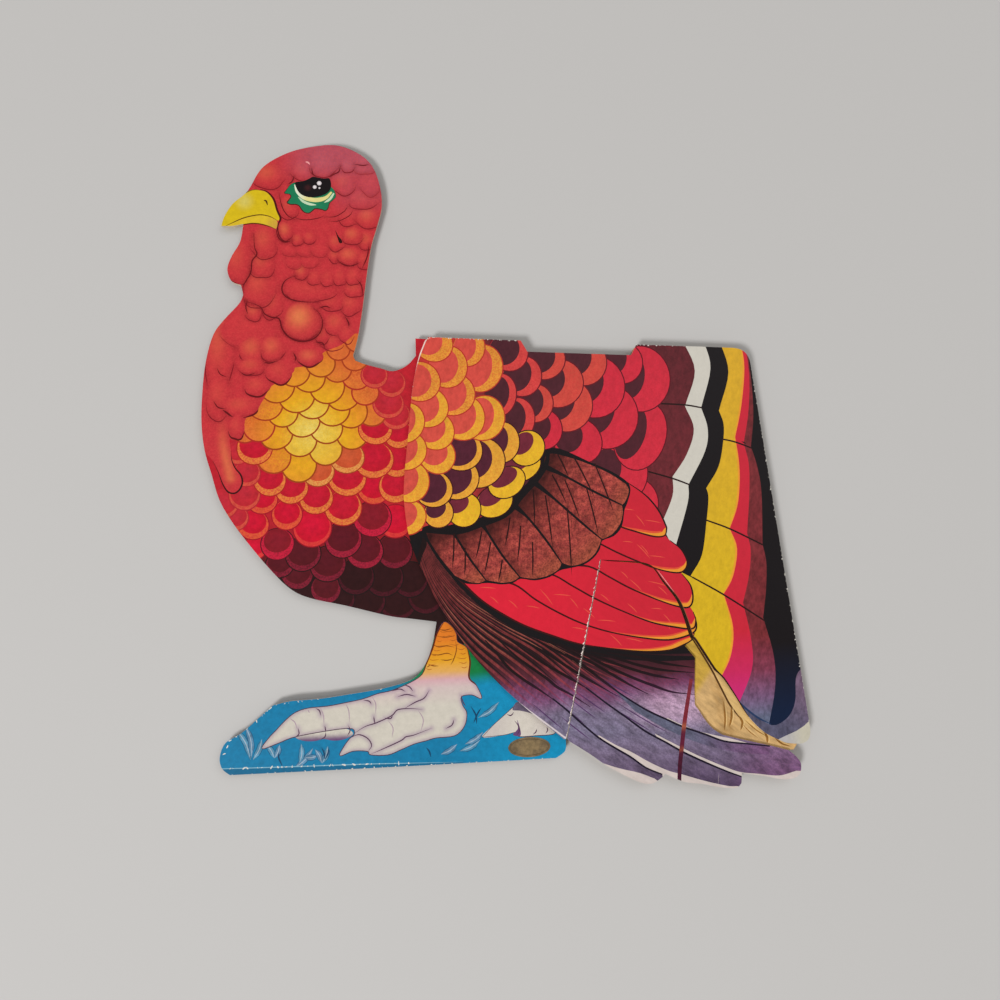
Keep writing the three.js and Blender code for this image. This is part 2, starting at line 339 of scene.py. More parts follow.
# Dark folds of the skin: points and how dark
FOLDS = [
    ([(-58, 275), (-56.5, 268), (-54, 263.5), (-50, 261)], 0.45),
    ([(-53.5, 279.5), (-51.5, 281), (-50.5, 284)], 0.7), ([(-42, 288), (-41.5, 285), (-40, 283.4)], 0.6),
    ([(-59.5, 256), (-58, 251.5), (-55, 249.6), (-52, 250.3)], 0.7),
    ([(-70, 254), (-69.6, 247), (-68.5, 243.5), (-70.8, 240), (-71.5, 234), (-74.5, 228.5),
      (-75.5, 224)], 0.8),
    ([(-74, 220), (-69.5, 218.3), (-66.5, 216.6), (-65, 213.6), (-62, 211.8), (-58, 210.8), (-56.6, 206),
      (-53.6, 202), (-49.6, 199.8), (-45, 199.6), (-41, 201.2), (-38.2, 204.6), (-37.4, 209),
      (-38.8, 213.2), (-42, 216.4)], 1.0),
    ([(-50, 232.4), (-54.6, 230.4), (-56.6, 226.6), (-55.6, 222.8), (-52, 220.4), (-46, 219.2),
      (-39, 219)], 0.8),
    ([(-39, 216), (-36, 216.8), (-33.5, 216)], 0.8), ([(-18, 236), (-15.5, 242), (-14.5, 248)], 0.7),
    ([(-21, 290), (-17, 289.4), (-14, 289.8)], 0.6),
    ([(-26.5, 211.5), (-25, 208.5), (-24.8, 206.5)], 0.8),
    ([(-20.5, 230), (-18.5, 227), (-18, 222)], 0.6), ([(-65, 189.5), (-62.5, 189), (-59, 190)], 0.9),
    ([(-51.3, 193.8), (-50.2, 191.5), (-50.4, 189.8)], 0.9),
    ([(-75.5, 184), (-73, 183.2), (-69, 184.3)], 0.6), ([(-88.5, 171), (-86.5, 168), (-83, 167)], 0.6),
    ([(-87, 187), (-85.5, 184), (-82.5, 182.5)], 0.4), ([(-36.5, 196), (-37.5, 198.5), (-41, 199)], 0.7),
    ([(-36, 262.4), (-31, 262.6), (-26.5, 265.2), (-24.6, 268)], 0.25),
    ([(-34, 260.2), (-29, 260.4), (-24, 263), (-22.2, 265.6)], 0.25),
    ([(-52, 262.6), (-46, 261), (-40, 261.6), (-36, 263)], 0.25),
    ([(-33.4, 283), (-31, 284.8), (-28.8, 286), (-27.9, 289)], 0.7),
    ([(-73, 220), (-73.7, 217), (-72.8, 213.4)], 0.6),
    ([(-30, 240.2), (-27, 238), (-23, 237.2), (-19, 239)], 0.5),
    ([(-58.4, 258.4), (-58.2, 254), (-56, 250.4), (-53, 250)], 0.6),
]

NECK_HEM = [
    (-22, 203), (-28.5, 197.5), (-36.5, 194.2), (-41.5, 189.6), (-45.5, 187.2), (-50.4, 186.6),
    (-51.2, 184.5), (-55.5, 181), (-59.8, 178.8), (-62.2, 177), (-65, 172), (-67.2, 168), (-69, 164.6),
    (-73.4, 162.4), (-74.3, 158.5), (-75.6, 154.6), (-79.4, 151.7), (-81, 152.6), (-80.3, 147),
    (-80, 142.8), (-78.4, 138.8), (-75.8, 135.4), (-75, 131.8), (-76.2, 128.6), (-78.6, 126.8),
    (-81.6, 127.6), (-84, 131.3), (-86, 136.8), (-88.6, 142.4), (-92, 146),
]
WATTLE_TIP = NECK_HEM[18:29]


def near_run(points, run):
    """The distance of each point from a run of short edges."""
    best = np.full(len(points), np.inf)
    for start, end in zip(run[:-1], run[1:]):
        way = end - start
        share = np.clip((points - start) @ way / (way @ way), 0, 1)
        best = np.minimum(best, np.hypot(*(points - start - share[:, None] * way).T))
    return best


def swollen(x, y, swelling):
    """How far out places lie in a swelling, 1 at its uneven rim, and how far across and up it."""
    middle_x, middle_y, wide, high = swelling[:4]
    across, up = (x - middle_x) / wide, (y - middle_y) / high
    turn = np.arctan2(up, across)
    rim = 1 + 0.05 * np.sin(3 * turn + middle_x) + 0.035 * np.sin(5 * turn + middle_y)
    return np.hypot(across, up) / rim, across, up


def skin(points):
    """Swellings painted one over the other, from the breast upwards, with the shade between them."""
    x, y = points[:, 0], points[:, 1]
    crown = smoothstep(275, 291, y) * smoothstep(-64, -38, x)
    crown = np.maximum(crown, 0.5 * smoothstep(258, 276, y) * smoothstep(-38, -24, x))[:, None]
    ground = SKIN + crown * (CROWN - SKIN)
    lit_skin = SKIN_LIT + crown * (ink(202, 108, 112) - SKIN_LIT)
    colour = ground.copy()
    for swelling in SWELLINGS:
        far, across, up = swollen(x, y, swelling)
        least, lit = min(swelling[2:4]), 0.75 * swelling[4]
        inside_it = smoothstep(1.04, 0.84, far)[:, None]
        tone = (0.95 + 0.1 * (1 - np.clip(far, 0, 1) ** 2) + 0.04 * up - 0.03 * across)[:, None]
        spot = np.exp(-((across + 0.15) ** 2 + (up - 0.25) ** 2) / 0.3)
        face = ground * tone
        face = face + (lit * spot)[:, None] * (lit_skin - face)
        colour = colour + inside_it * (face - colour)
        below = np.clip(0.45 - 0.7 * up / np.maximum(far, 0.2), 0, 1)
        shade = (0.2 + 0.4 * min(lit, 0.5)) * below * np.exp(-((far - 1.0) * least / 1.1) ** 2)
        colour = colour + shade[:, None] * (SKIN_FOLD - colour)
    for run, depth in FOLDS:
        away = near_run(points, curve(run, steps=3))
        dark = 0.42 * depth * np.exp(-(away / 1.2) ** 2)
        colour = colour + dark[:, None] * (SKIN_FOLD - colour)
    lobe = near_run(points, np.array([(-85, 168), (-84, 150), (-80.5, 134)]))
    shine = 0.6 * np.exp(-(lobe / 2.2) ** 2) * smoothstep(166, 140, y)
    return colour + shine[:, None] * (SKIN_LIT - colour)


def rim_run(swelling, angle):
    """Points of a swelling's uneven rim at the given angles."""
    x, y, wide, high = swelling[:4]
    way = np.stack([wide * np.cos(angle), high * np.sin(angle)], axis=1)
    return np.array([x, y]) + way / swollen(x + way[:, 0], y + way[:, 1], swelling)[0][:, None]


def draw_creases(picture):
    """A fine line under each swelling, wherever no later one covers it, and along each fold."""
    for number, swelling in enumerate(SWELLINGS):
        run = rim_run(swelling, np.linspace(-0.92 * math.pi, -0.08 * math.pi, 36))
        clear = swelling[4] >= 0.1
        hanging = swelling in HEM_LOBES
        width = 0.85 if hanging else 0.46 if clear else 0.32
        tone = ink(98, 16, 24) if hanging else ink(128, 24, 34) if clear else ink(152, 36, 42)
        seen = np.ones(len(run), bool)
        for later in SWELLINGS[number + 1:]:
            seen &= swollen(run[:, 0], run[:, 1], later)[0] > 1
        for stretch in np.split(np.arange(len(run)), np.nonzero(np.diff(seen))[0] + 1):
            if seen[stretch[0]] and len(stretch) > 6:
                picture.fill(ribbon(run[stretch], width, 0.1, 0.1), tone, 0)
    for run, depth in FOLDS:
        picture.line(run, 0.3 + 0.4 * depth, ink(104, 16, 26), 0.15, 0.15, 0)


def draw_neck(picture):
    above = [(-100, 150), (-100, 306), (4, 306), (4, 203)]
    whole_turn = np.linspace(0, 2 * math.pi, OVAL_SIDES, endpoint=False)
    shapes = [np.concatenate([curve(NECK_HEM, steps=3), above])]
    shapes += [rim_run(swelling, whole_turn) for swelling in HEM_LOBES]
    for shape in shapes:
        picture.fill(shape, skin, 0.22, SKIN_SPECKS, 0.2)
    draw_creases(picture)
    picture.line(WATTLE_TIP, 0.8, ink(60, 8, 16), 0.1, 0.1)
    ear = [(-30.8, 255.6), (-29.5, 252.8), (-28, 250.8), (-27.5, 249.2), (-28.7, 248.9), (-29.5, 250.6)]
    picture.fill(curve(ear, True), ink(52, 8, 12))


# Beak and eye

UPPER_BEAK = [
    (-86.3, 257.4), (-85.8, 260.4), (-84, 264.4), (-81, 268.8), (-77, 272.8), (-73, 275.6), (-69.5, 276.6),
    (-65.5, 276), (-62.5, 274), (-60.6, 270.6), (-59.3, 266.2), (-57.7, 262.4), (-58.6, 260.6), (-62, 262.6),
    (-66, 263.6), (-70, 263.3), (-75, 262), (-80, 259.7), (-84, 257.6),
]
LOWER_BEAK = [
    (-84.6, 257), (-80, 259.6), (-75, 262), (-70, 263.3), (-66, 263.6), (-62, 262.6), (-59, 260.6),
    (-58.8, 258), (-59.8, 256.4), (-63, 257.8), (-67, 258.9), (-71, 259.2), (-76, 258.4), (-80, 257.4),
]
EYE_PATCH = [
    (-50.2, 280.4), (-52.6, 279), (-54, 277), (-55.3, 274.8), (-52.9, 274.3), (-52.1, 273), (-53, 271.5),
    (-54, 269.9), (-52.3, 269), (-50, 269), (-48.3, 268.3), (-47, 266.3), (-45.5, 264.8), (-43.5, 264.5),
    (-42, 265.5), (-40.5, 266.7), (-37.5, 266.4), (-35.5, 265.7), (-34.2, 267), (-33.5, 269.5), (-32, 271),
    (-30.6, 272.5), (-30.5, 274.6), (-32, 277.5), (-36, 280), (-45, 281),
]
EYE = [
    (-50, 280.4), (-46.5, 281), (-43.6, 282.2), (-41.6, 283.3), (-39, 283), (-36, 282.5), (-33.6, 282.6),
    (-32.7, 280.6), (-32.7, 278), (-33.6, 275.8), (-36, 274), (-40, 272.8), (-44, 272.8), (-47.6, 274.5),
    (-49.5, 277.5),
]


def draw_head(picture):
    picture.fill(curve(UPPER_BEAK, True), glow(ink(214, 196, 96), BEAK, -74.5, 270.6, 6), 0.2)
    lower = fade(ink(220, 186, 44), ink(206, 160, 60), (-66, 261), (-60, 257))
    picture.fill(curve(LOWER_BEAK, True), lower, 0.2)
    picture.line(UPPER_BEAK[1:8], 0.5, ink(120, 92, 20))
    picture.line(UPPER_BEAK[12:], 0.55, ink(96, 62, 12))
    picture.line(LOWER_BEAK[8:], 0.6, ink(98, 40, 18))
    cheek = [(-67, 276.9), (-63.5, 275.4), (-60.4, 271.6), (-58.8, 266), (-57.2, 261.8), (-58.2, 259),
             (-59, 255)]
    picture.line(cheek, 1.0, ink(78, 12, 18))
    picture.line([(-65.3, 271.2), (-64.1, 270.7), (-63.4, 268.6)], 0.8, ink(74, 46, 10))
    patch = curve(EYE_PATCH, True)
    picture.fill(patch, glow(ink(38, 128, 90), GREEN, -43, 268, 12), 0.2)
    picture.line(patch[:115], 0.5, ink(70, 26, 24), smooth=False)
    mint = ink(196, 218, 184)
    straw = ink(228, 218, 142)
    lid = [(-50, 279.4), (-49, 275.8), (-46, 272.7), (-42, 271.4), (-38.4, 271.4), (-35, 272.6),
           (-32.4, 275.4)]
    picture.line([(-48.6, 272.8), (-46.2, 270.5), (-43, 269.1), (-40, 268.7)], 1.3, mint)
    picture.line([(-36, 269.9), (-33.3, 271.7), (-31.3, 274.8)], 1.2, mint, 0.2, 0.6)
    picture.line(lid, 2.2, fade(ink(226, 232, 208), straw, (-48, 276), (-43, 272)), 0.5, 0.4)
    picture.fill(curve(EYE, True), BLACK, 0.05)
    picture.fill(oval(-44, 277.6, 2.6, 1.9, 0.3), glow(ink(62, 30, 32), BLACK, -44, 277.6, 2.6))
    for x, y, radius in [(-38.4, 280, 1.15), (-40.6, 278, 0.95), (-38.3, 277.5, 0.5)]:
        shine = glow(ink(246, 240, 240), ink(176, 164, 166), x, y, radius * 1.4)
        picture.fill(oval(x, y, radius, radius), shine, 0)
    picture.line([(-45, 291.2), (-43.8, 290.9), (-42.9, 289.8)], 0.8, ink(240, 160, 160))


# Leg, feet and base

LEG = [
    (17, 63.6), (20.5, 61.5), (22.5, 58), (23, 54.4), (27.2, 51.4), (28.2, 45), (27.6, 38), (30.8, 34.6),
    (33.3, 28.4), (29, 30.2), (24, 29.6), (24.4, 25.6), (26.2, 22), (25, 16.4), (20.6, 12.4), (12, 11.8),
    (7.6, 10.8), (2, 9.6), (-4, 7.4), (-10, 5.4), (-17.6, 5.8), (-19, 7.4), (-25.6, 7.8), (-31.3, 6),
    (-29.6, 9.6), (-27, 13), (-24.6, 15.4), (-28, 18), (-50, 15.6), (-58.6, 13), (-65.8, 10.8), (-63, 15),
    (-59.6, 18.4), (-55.4, 22.6), (-51, 25.8), (-45.4, 27.4), (-36.6, 27.9), (-27.6, 29.2), (-20.6, 30.4),
    (-14, 32.4), (-7.4, 33.6), (1, 36.8), (6.6, 40.4), (9.2, 46.6), (11.8, 52.6), (13.6, 58.4),
]
FAR_TOE = [
    (33, 10.9), (38, 15.8), (43.4, 20.2), (47.6, 23.6), (50.4, 25.4), (54.6, 22.4), (63.4, 15.8), (66.6, 11),
    (57.8, 10.4), (50, 10.4), (49, 12.4), (43, 11.4),
]
FOOT_LINES = [
    [(-7.6, 33.4), (-4, 34.2), (-1.5, 33)], [(-20.6, 30), (-18, 29.4), (-17, 28)],
    [(9.4, 33), (7, 29.6), (3, 28), (-2, 25.4)],
    [(6, 24.6), (1, 25.2), (-5, 25), (-8, 22.4), (-15, 19.6), (-20, 18.2), (-25, 15.4)],
    [(-16, 22.6), (-15.8, 20.6), (-15.4, 19.2)],
    [(10, 16), (2, 13.4), (-1.6, 12.8), (-4, 11.2), (-12, 8), (-17.6, 6)],
    [(-27, 13.4), (-23, 14.8), (-19, 13), (-17.2, 9.8), (-18.8, 7.2)],
    [(-50, 19), (-49.6, 16.4), (-51.5, 14.8)], [(-37.6, 16.6), (-38, 14.6), (-40, 13.4)],
    [(-27.4, 19), (-26.8, 16.6), (-28, 14.6)], [(-38, 19.4), (-37.6, 16.6)],
    [(-42, 27.4), (-40.4, 26.2), (-39.8, 24)], [(-5, 30.8), (-1, 31.6), (3, 30.6)],
    [(20.4, 19.4), (19.4, 17), (16.6, 15.6)], [(-11, 21.6), (-8.4, 21.2), (-7.4, 22.8)],
    [(24, 30), (24.8, 27), (26, 25)], [(-2.2, 36), (0.4, 35), (2, 33)],
]
LEG_LINES = [
    [(11.4, 53.6), (14.4, 52.4), (18, 52.8), (21.6, 52)],
    [(10.6, 49.4), (14, 48.8), (18, 49.4), (20.6, 48.4)], [(13.6, 57.4), (17, 56.8), (21.6, 57)],
    [(22.2, 55), (22.4, 50.6), (21, 46.4), (19.6, 44)], [(9, 45), (11.4, 44), (14, 43.8)],
    [(14.6, 60.4), (17.4, 60), (20.4, 60.6)], [(8.6, 43.4), (10.2, 44.4)],
    [(15, 46.6), (18, 46.2), (21, 46.8)],
]
# Leaves of grass: foot and tip of each
GRASS_LEAVES = [
    ((-71, 6.2), (-77.6, 20)), ((-70.6, 7), (-73.4, 21.4)), ((-70, 6), (-66, 15)),
    ((-52, 1.4), (-43.4, 9.8)), ((-49.4, 3.6), (-48.6, 12)), ((-47, 6), (-41.4, 6.4)),
    ((-39.4, 3), (-36.8, 10.4)), ((-39.6, 3.2), (-42.4, 9.2)), ((31.5, 19.7), (41.3, 26.3)),
    ((14, 4.3), (21.5, 8.4)), ((22.6, 5.3), (32, 9.7)), ((25.1, 8.2), (33.6, 13.2)),
    ((-60.6, 6.4), (-63.8, 12)), ((-60.4, 6.4), (-58.2, 12)),
]
# Dark blades between them
DARK_BLADES = [
    [(30.7, 17.1), (30.4, 21), (28.3, 25)], [(29.4, 17.6), (31.2, 21.4), (33, 24)],
    [(-38.2, 4.8), (-38.4, 7.4), (-39.6, 10)], [(-38, 4.8), (-36.6, 7.6), (-36.4, 9.8)],
    [(9.4, 3.4), (8.8, 5.8), (7.4, 7.6)], [(-57, 2.8), (-58.6, 6.4), (-58.4, 9)],
]

# Faint joints across the toes
TOE_JOINTS = [
    [(-53.6, 23.4), (-51.4, 21.6), (-50.4, 18.6)], [(-40, 27.4), (-38.6, 24), (-38.4, 19.4)],
    [(-28.6, 28.8), (-27.2, 25.4), (-27, 20)], [(-16.6, 31.2), (-15, 28), (-15.2, 23.4)],
    [(-9.6, 20.4), (-7.4, 17), (-8, 12.6)], [(4, 24.6), (6.4, 20), (5, 14.4)], [(-45.6, 27), (-44.8, 25.4)],
]
FAR_TOE_LINES = [
    [(48.2, 17.6), (49.8, 15.4), (50.2, 13), (49, 11)], [(58.3, 13.4), (57.8, 12), (56.4, 11)],
    [(63, 14.2), (63.3, 12.6), (62.4, 11.2)], [(44.8, 20.6), (46.6, 20), (48, 21.4)],
]


def leg_paint(points):
    """Orange shank, pink ankle and pale foot, shaded violet beside every line of the foot."""
    heights = [26, 34, 37.5, 41, 46, 56]
    inks = [FOOT, ink(208, 188, 184), FOOT_PINK, ink(222, 168, 92), ink(226, 160, 36), LEG_ORANGE]
    colour = by_height(heights, inks)(points)
    outline = curve(LEG + LEG[:1], steps=2)
    near = near_run(points, outline) * 1.25
    for run in FOOT_LINES:
        near = np.minimum(near, near_run(points, curve(run, steps=2)))
    shade = 0.5 * np.exp(-(near / 1.3) ** 2) * smoothstep(40, 33, points[:, 1])
    return colour + shade[:, None] * (ink(150, 118, 150) - colour)


def draw_base(picture):
    bright = ink(0, 138, 182)
    ground = [(-90, -4), (76, -4), (76, 31), (31, 31), (27, 45), (12, 45), (-5, 41), (-64, 34), (-90, 22)]
    behind = [(26, 58), (40, 58), (54, 30), (26, 30)]
    before = [(14, 57), (4, 57), (-12, 35), (-4, 32), (5, 38), (10.5, 48)]
    picture.fill(ground, fade(BLUE, bright, (10, 14), (44, 30)), 0.3)
    picture.fill(behind, fade(bright, ink(12, 122, 64), (32, 33), (31, 41)), 0.25)
    picture.fill(before, fade(ink(8, 120, 160), ink(28, 122, 76), (-7, 35), (3, 43)), 0.25)
    for number, (foot, tip) in enumerate(GRASS_LEAVES):
        foot, tip = np.array(foot), np.array(tip)
        bend = 0.08 * np.array([tip[1] - foot[1], foot[0] - tip[0]])
        leaf = [foot, (foot + tip) / 2 + bend, tip]
        picture.line(leaf, 2.7, ink(14, 84, 122), 0.05, 0.05, 0.2)
        picture.line(leaf, 2.1, ink(92, 134, 164) if number % 2 else GRASS, 0.05, 0.05, 0.9)
        picture.line(leaf, 0.4, ink(160, 176, 192), 0.05, 0.05, 0.4)
    for blade in DARK_BLADES:
        picture.line(blade, 0.7, ink(8, 66, 100), 0.3, 0.1)
    shadow = ink(104, 68, 112)
    underside = [(-51, 15.4), (-48, 13.4), (-43, 12.9), (-38.6, 13.6), (-34, 12.7), (-29, 13.2),
                 (-25.4, 15.4), (-30, 18), (-44, 18)]
    picture.fill(curve(underside, True), fade(FOOT, shadow, (0, 16.6), (0, 12.9)), 0.3)
    leg_ink = ink(70, 44, 62)
    leg = curve(LEG, True, steps=4)
    picture.fill(ribbon(np.concatenate([leg, leg[:2]]), 0.7, 1, 1), leg_ink, 0.1)
    picture.fill(leg, leg_paint, 0.12)
    picture.fill(curve(FAR_TOE, True), glow(ink(212, 204, 192), ink(198, 188, 182), 51, 15, 15), 0.12)
    picture.line(FAR_TOE + FAR_TOE[:1], 0.35, leg_ink, 0.6, 0.6)
    smudge = [(47.4, 22.6), (50.4, 26), (57, 20.4), (54, 21.2), (50.6, 22)]
    picture.fill(curve(smudge, True), ink(98, 86, 106), 0.8)
    picture.fill(curve([(47.2, 11.4), (49.6, 14), (49.4, 18), (50.8, 13), (50.4, 10.6)], True), shadow)
    for run in FOOT_LINES + FAR_TOE_LINES:
        picture.line(run, 0.5, ink(82, 52, 76), 0.15, 0.15)
    for run in TOE_JOINTS:
        picture.line(run, 0.4, ink(168, 142, 158), 0.1, 0.1)
    for run in LEG_LINES:
        picture.line(run, 0.45, ink(128, 68, 16), 0.15, 0.15)
    for number in range(9):
        y = 43 + 2.1 * number
        left = np.interp(y, [40, 46.6, 52.6, 58.4, 63], [6.6, 9.2, 11.8, 13.6, 16.6])
        right = np.interp(y, [40, 51, 54.4, 58, 62], [27.8, 27.2, 23, 22.5, 20])
        inner = 3.4 + 0.8 * (number % 3)
        picture.line([(left + 0.3, y), (left + 1.8, y - 0.7), (left + inner, y - 0.4)], 0.3, ink(180, 98, 26))
        picture.line([(right - 0.3, y), (right - 1.8, y - 0.6), (right - inner, y)], 0.3, ink(172, 90, 28))
    picture.line([(27.6, 51), (28.6, 45), (27.9, 38), (31, 34.4)], 0.8, ink(96, 36, 20))
    picture.line([(16.8, 63.4), (13.4, 58), (11.6, 52.4), (9, 46.4), (6.4, 40.2)], 0.8, ink(96, 36, 20))
    lip = [(-88, 3), (-70, 2.6), (-50, 2.2), (-20, 1.7), (0, 1.1), (24, 0.4)]
    picture.fill(curve(lip).tolist() + [(24, -4), (-90, -4)], ink(4, 102, 140), 0.3)
    picture.line(lip, 0.4, ink(130, 178, 196), 0.8, 0.1)
    chip_edge(picture, lip[:5], 30, 0.8, 4)


# The side: scales over the back, bands across the tail, coverts, flight feathers and plumes.
# Each scale: place, half length, half width, rim width, direction and kind.

SIDE_KINDS = {
    "flame": (ink(208, 76, 66), AMBER, ink(178, 50, 42), BURNT),
    "blaze": (ink(208, 78, 66), ink(228, 166, 52), ink(180, 60, 40), ink(222, 130, 50)),
    "rose": (MAROON, ink(210, 70, 66), ink(104, 26, 36), ink(196, 52, 56)),
    "coral": (MAROON, ink(206, 76, 64), ink(104, 26, 36), ink(200, 60, 56)),
    "cherry": (ink(78, 34, 42), ink(206, 46, 64), ink(92, 20, 32), ink(196, 40, 56)),
    "honey": (ink(82, 34, 48), ink(226, 164, 56), ink(66, 22, 26), ink(214, 132, 50)),
    "lemon": (ink(112, 40, 54), ink(228, 180, 42), ink(52, 20, 22), ink(222, 158, 44)),
}

SIDE_SCALES = [
    (15.9, 196.7, 9, 8.8, 5.2, -25, "flame"), (22.3, 185, 9.2, 10.2, 4.4, -15, "flame"),
    (32.6, 194, 7.5, 8.8, 4.1, -15, "flame"), (38.8, 184, 9.5, 11.8, 4.8, -15, "flame"),
    (8.8, 178, 9.4, 9.6, 4.1, -15, "flame"), (24.8, 171.3, 9.8, 10.2, 3.8, -20, "flame"),
    (11.8, 165.3, 10, 9.6, 4.2, -25, "blaze"), (28.6, 160, 10.6, 10.8, 4.4, -25, "blaze"),
    (38.6, 159.5, 9.8, 11, 4.9, -20, "blaze"), (1.8, 158, 8.2, 9.8, 4.2, -20, "blaze"),
    (14.8, 154.2, 9.8, 9, 4.7, -35, "blaze"), (1.8, 144.7, 8.9, 9.4, 4.2, -25, "blaze"),
    (16, 142, 8.8, 8.2, 4.6, -50, "blaze"), (2.6, 129.6, 9.2, 9.6, 5.4, -25, "blaze"),
    (2.4, 112.8, 7.2, 8, 4.4, -30, "blaze"), (51.8, 192, 9.4, 9.4, 4.4, -30, "rose"),
    (58, 179.8, 9.2, 10, 4.8, -18, "rose"), (47.2, 170.7, 7.4, 10.4, 3.4, -12, "rose"),
    (69.2, 188, 9.8, 10, 4.9, -30, "coral"), (63.6, 166.2, 8.6, 9.4, 4.4, -15, "coral"),
    (54.4, 158.2, 8.6, 10.8, 4.4, -15, "rose"), (75.6, 176, 11.7, 12, 9, -22, "coral"),
    (67, 153.2, 9.2, 9.6, 5.8, -25, "cherry"), (79.6, 164.8, 11.8, 12.8, 9, -25, "coral"),
    (88.4, 186, 11, 11.4, 7.8, -30, "coral"), (92.4, 174.2, 15.8, 15.2, 11, -22, "cherry"),
    (107.4, 185.5, 9.8, 10.4, 8, -25, "cherry"), (99.2, 158.6, 14.2, 15.6, 12, -25, "cherry"),
    (83.6, 147.4, 11.7, 11, 9.6, -25, "cherry"), (116, 177.4, 14.4, 16.4, 12.4, -15, "cherry"),
    (114.2, 149.4, 12.4, 17.4, 10, -20, "cherry"), (102.4, 131, 14, 15, 13, -20, "cherry"),
    (109, 117, 12, 12, 12, -20, "cherry"), (47, 147.4, 8.2, 9.8, 5.4, -15, "honey"),
    (59, 144.4, 7.8, 8.8, 6.6, -45, "lemon"), (36.4, 138, 11.4, 12, 6.4, -28, "honey"),
    (27, 144.6, 10.4, 10, 2.8, -35, "honey"), (25, 130.8, 10.2, 10, 3.4, -35, "honey"),
    (56.2, 136, 7, 9.2, 5.6, -60, "lemon"), (13.8, 126, 8.8, 8.6, 2.8, -35, "honey"),
    (48.6, 128.2, 7, 9, 5.6, -62, "lemon"), (28, 115.6, 7.6, 8, 7.6, -50, "lemon"),
    (42.4, 119.2, 7.2, 8.8, 6, -62, "lemon"), (16, 114.4, 6.6, 6.8, 5, -60, "honey"),
]
SCALE_FLOW = np.array([0.78, -0.62])


def draw_scales(picture, kinds):
    chosen = [scale for scale in SIDE_SCALES if scale[6] in kinds]
    chosen.sort(key=lambda scale: -SCALE_FLOW @ np.array(scale[:2]))
    for x, y, long, wide, rim_width, aim, kind in chosen:
        face, rim, line, specks = SIDE_KINDS[kind]
        lit = fade(rim * 0.94, rim * 1.04, (x, y + wide), (x, y - wide))
        picture.scale(x, y, long, wide, aim, (face, lit, rim_width, line, specks), None, 0.55)


# The tail feathers: each is a set of edges, from its root outwards

TAIL_FEATHERS = [
    [[(118, 198), (122, 180), (122, 163)], [(138.6, 196), (143.4, 181), (137.4, 163.6)],
     [(149, 196), (151.3, 182), (145.2, 162.2)], [(157, 196), (160.2, 180), (154, 160.6)],
     [(167.4, 196), (168, 182), (165, 163), (160.6, 146)],
     [(169.6, 196), (170.6, 178), (168.8, 160), (165.4, 145)],
     [(170.4, 196), (171.5, 172), (171, 157), (168.6, 142)], [(182, 196), (182, 170), (182, 142)]],
    [[(122, 165), (124, 150), (114, 131)], [(137.2, 163.6), (140.9, 152), (136.5, 139.4), (128.3, 128)],
     [(145.3, 162.4), (147.8, 152), (145.8, 141), (136.3, 124.4)],
     [(154, 161), (155.9, 154), (155, 145), (151.8, 133), (145, 122.6)],
     [(161, 147.4), (161.7, 137), (161.4, 126), (159.3, 113.6), (154.8, 102.4)],
     [(165.2, 144.4), (167, 134), (166.2, 120), (163.4, 99)],
     [(168.6, 143), (171.2, 132), (172.2, 119), (170.7, 94)], [(184, 143), (184, 118), (184, 94)]],
    [[(112, 131), (112, 118), (112, 106)], [(128.9, 128.6), (128.2, 119.3), (122, 106)],
     [(136.4, 125), (135.4, 115.7), (127.4, 93)],
     [(145, 123), (145.8, 118), (144, 106.4), (140.7, 90.7), (134.6, 81)],
     [(155, 103), (157.6, 92.9), (154.6, 80), (149.2, 71)],
     [(163.6, 100), (164.7, 92), (162.9, 80), (158.8, 66.6)],
     [(170.7, 95), (171.9, 86), (170.7, 73), (168, 58.6)], [(188, 95), (188, 76), (188, 58)]],
    [[(126, 84), (126, 64), (132, 46), (142, 32)], [(126, 84), (127, 64), (132, 46), (142, 32)],
     [(127, 84), (127, 64), (132, 46), (142, 32)], [(128, 84), (128, 64), (132, 46), (142, 32)],
     [(149.8, 72), (152.9, 56), (150.8, 43), (144.4, 31)],
     [(159, 67.6), (161.7, 50), (160.9, 36), (152.6, 19)],
     [(168.4, 59.6), (172, 42), (171.4, 27), (166.4, 8)], [(190, 60), (190, 40), (190, 8)]],
]
# The ink after each edge, and how mottled it is
TAIL_INKS = [
    (fade(ink(106, 40, 46), ink(94, 36, 42), (120, 130), (140, 190)), 0.7),
    (ink(206, 201, 190), 0.08),
    (BLACK, 0.1),
    (fade(ink(212, 174, 34), ink(214, 166, 44), (0, 60), (0, 185)), 0.25),
    (by_height([22, 36, 54], [ink(204, 46, 120), ink(200, 42, 90), ink(200, 40, 58)]), 0.12),
    (by_height([14, 24, 36, 52],
               [ink(98, 104, 128), ink(116, 84, 116), ink(122, 56, 76), ink(116, 44, 48)]), 0.9),
    (by_height([16, 48], [NAVY, BLACK]), 0.1),
]
# Dark lines where one feather of the tail lies over the next
TAIL_JOINTS = [
    [(123, 165), (137, 164), (145.6, 162.4)], [(154.6, 146.6), (161, 145), (169, 141.8)],
    [(115, 132.2), (128.5, 128), (137, 124.6)], [(143.8, 107.3), (155.4, 102.6), (171, 94.4)],
    [(135.4, 80.2), (150, 71.4), (169, 58.4)],
]


def draw_tail(picture):
    for edges in TAIL_FEATHERS:
        runs = [curve(edge) for edge in edges]
        for (paint, mottle), inner, outer in zip(TAIL_INKS, runs[:-1], runs[1:]):
            picture.fill(np.concatenate([inner, outer[::-1]]), paint, mottle)
        picture.line(edges[4], 0.9, ink(232, 152, 50), 0.4, 0.4)
    for joint in TAIL_JOINTS:
        picture.line(joint, 0.8, BROWN_BLACK, 0.9, 0.9)


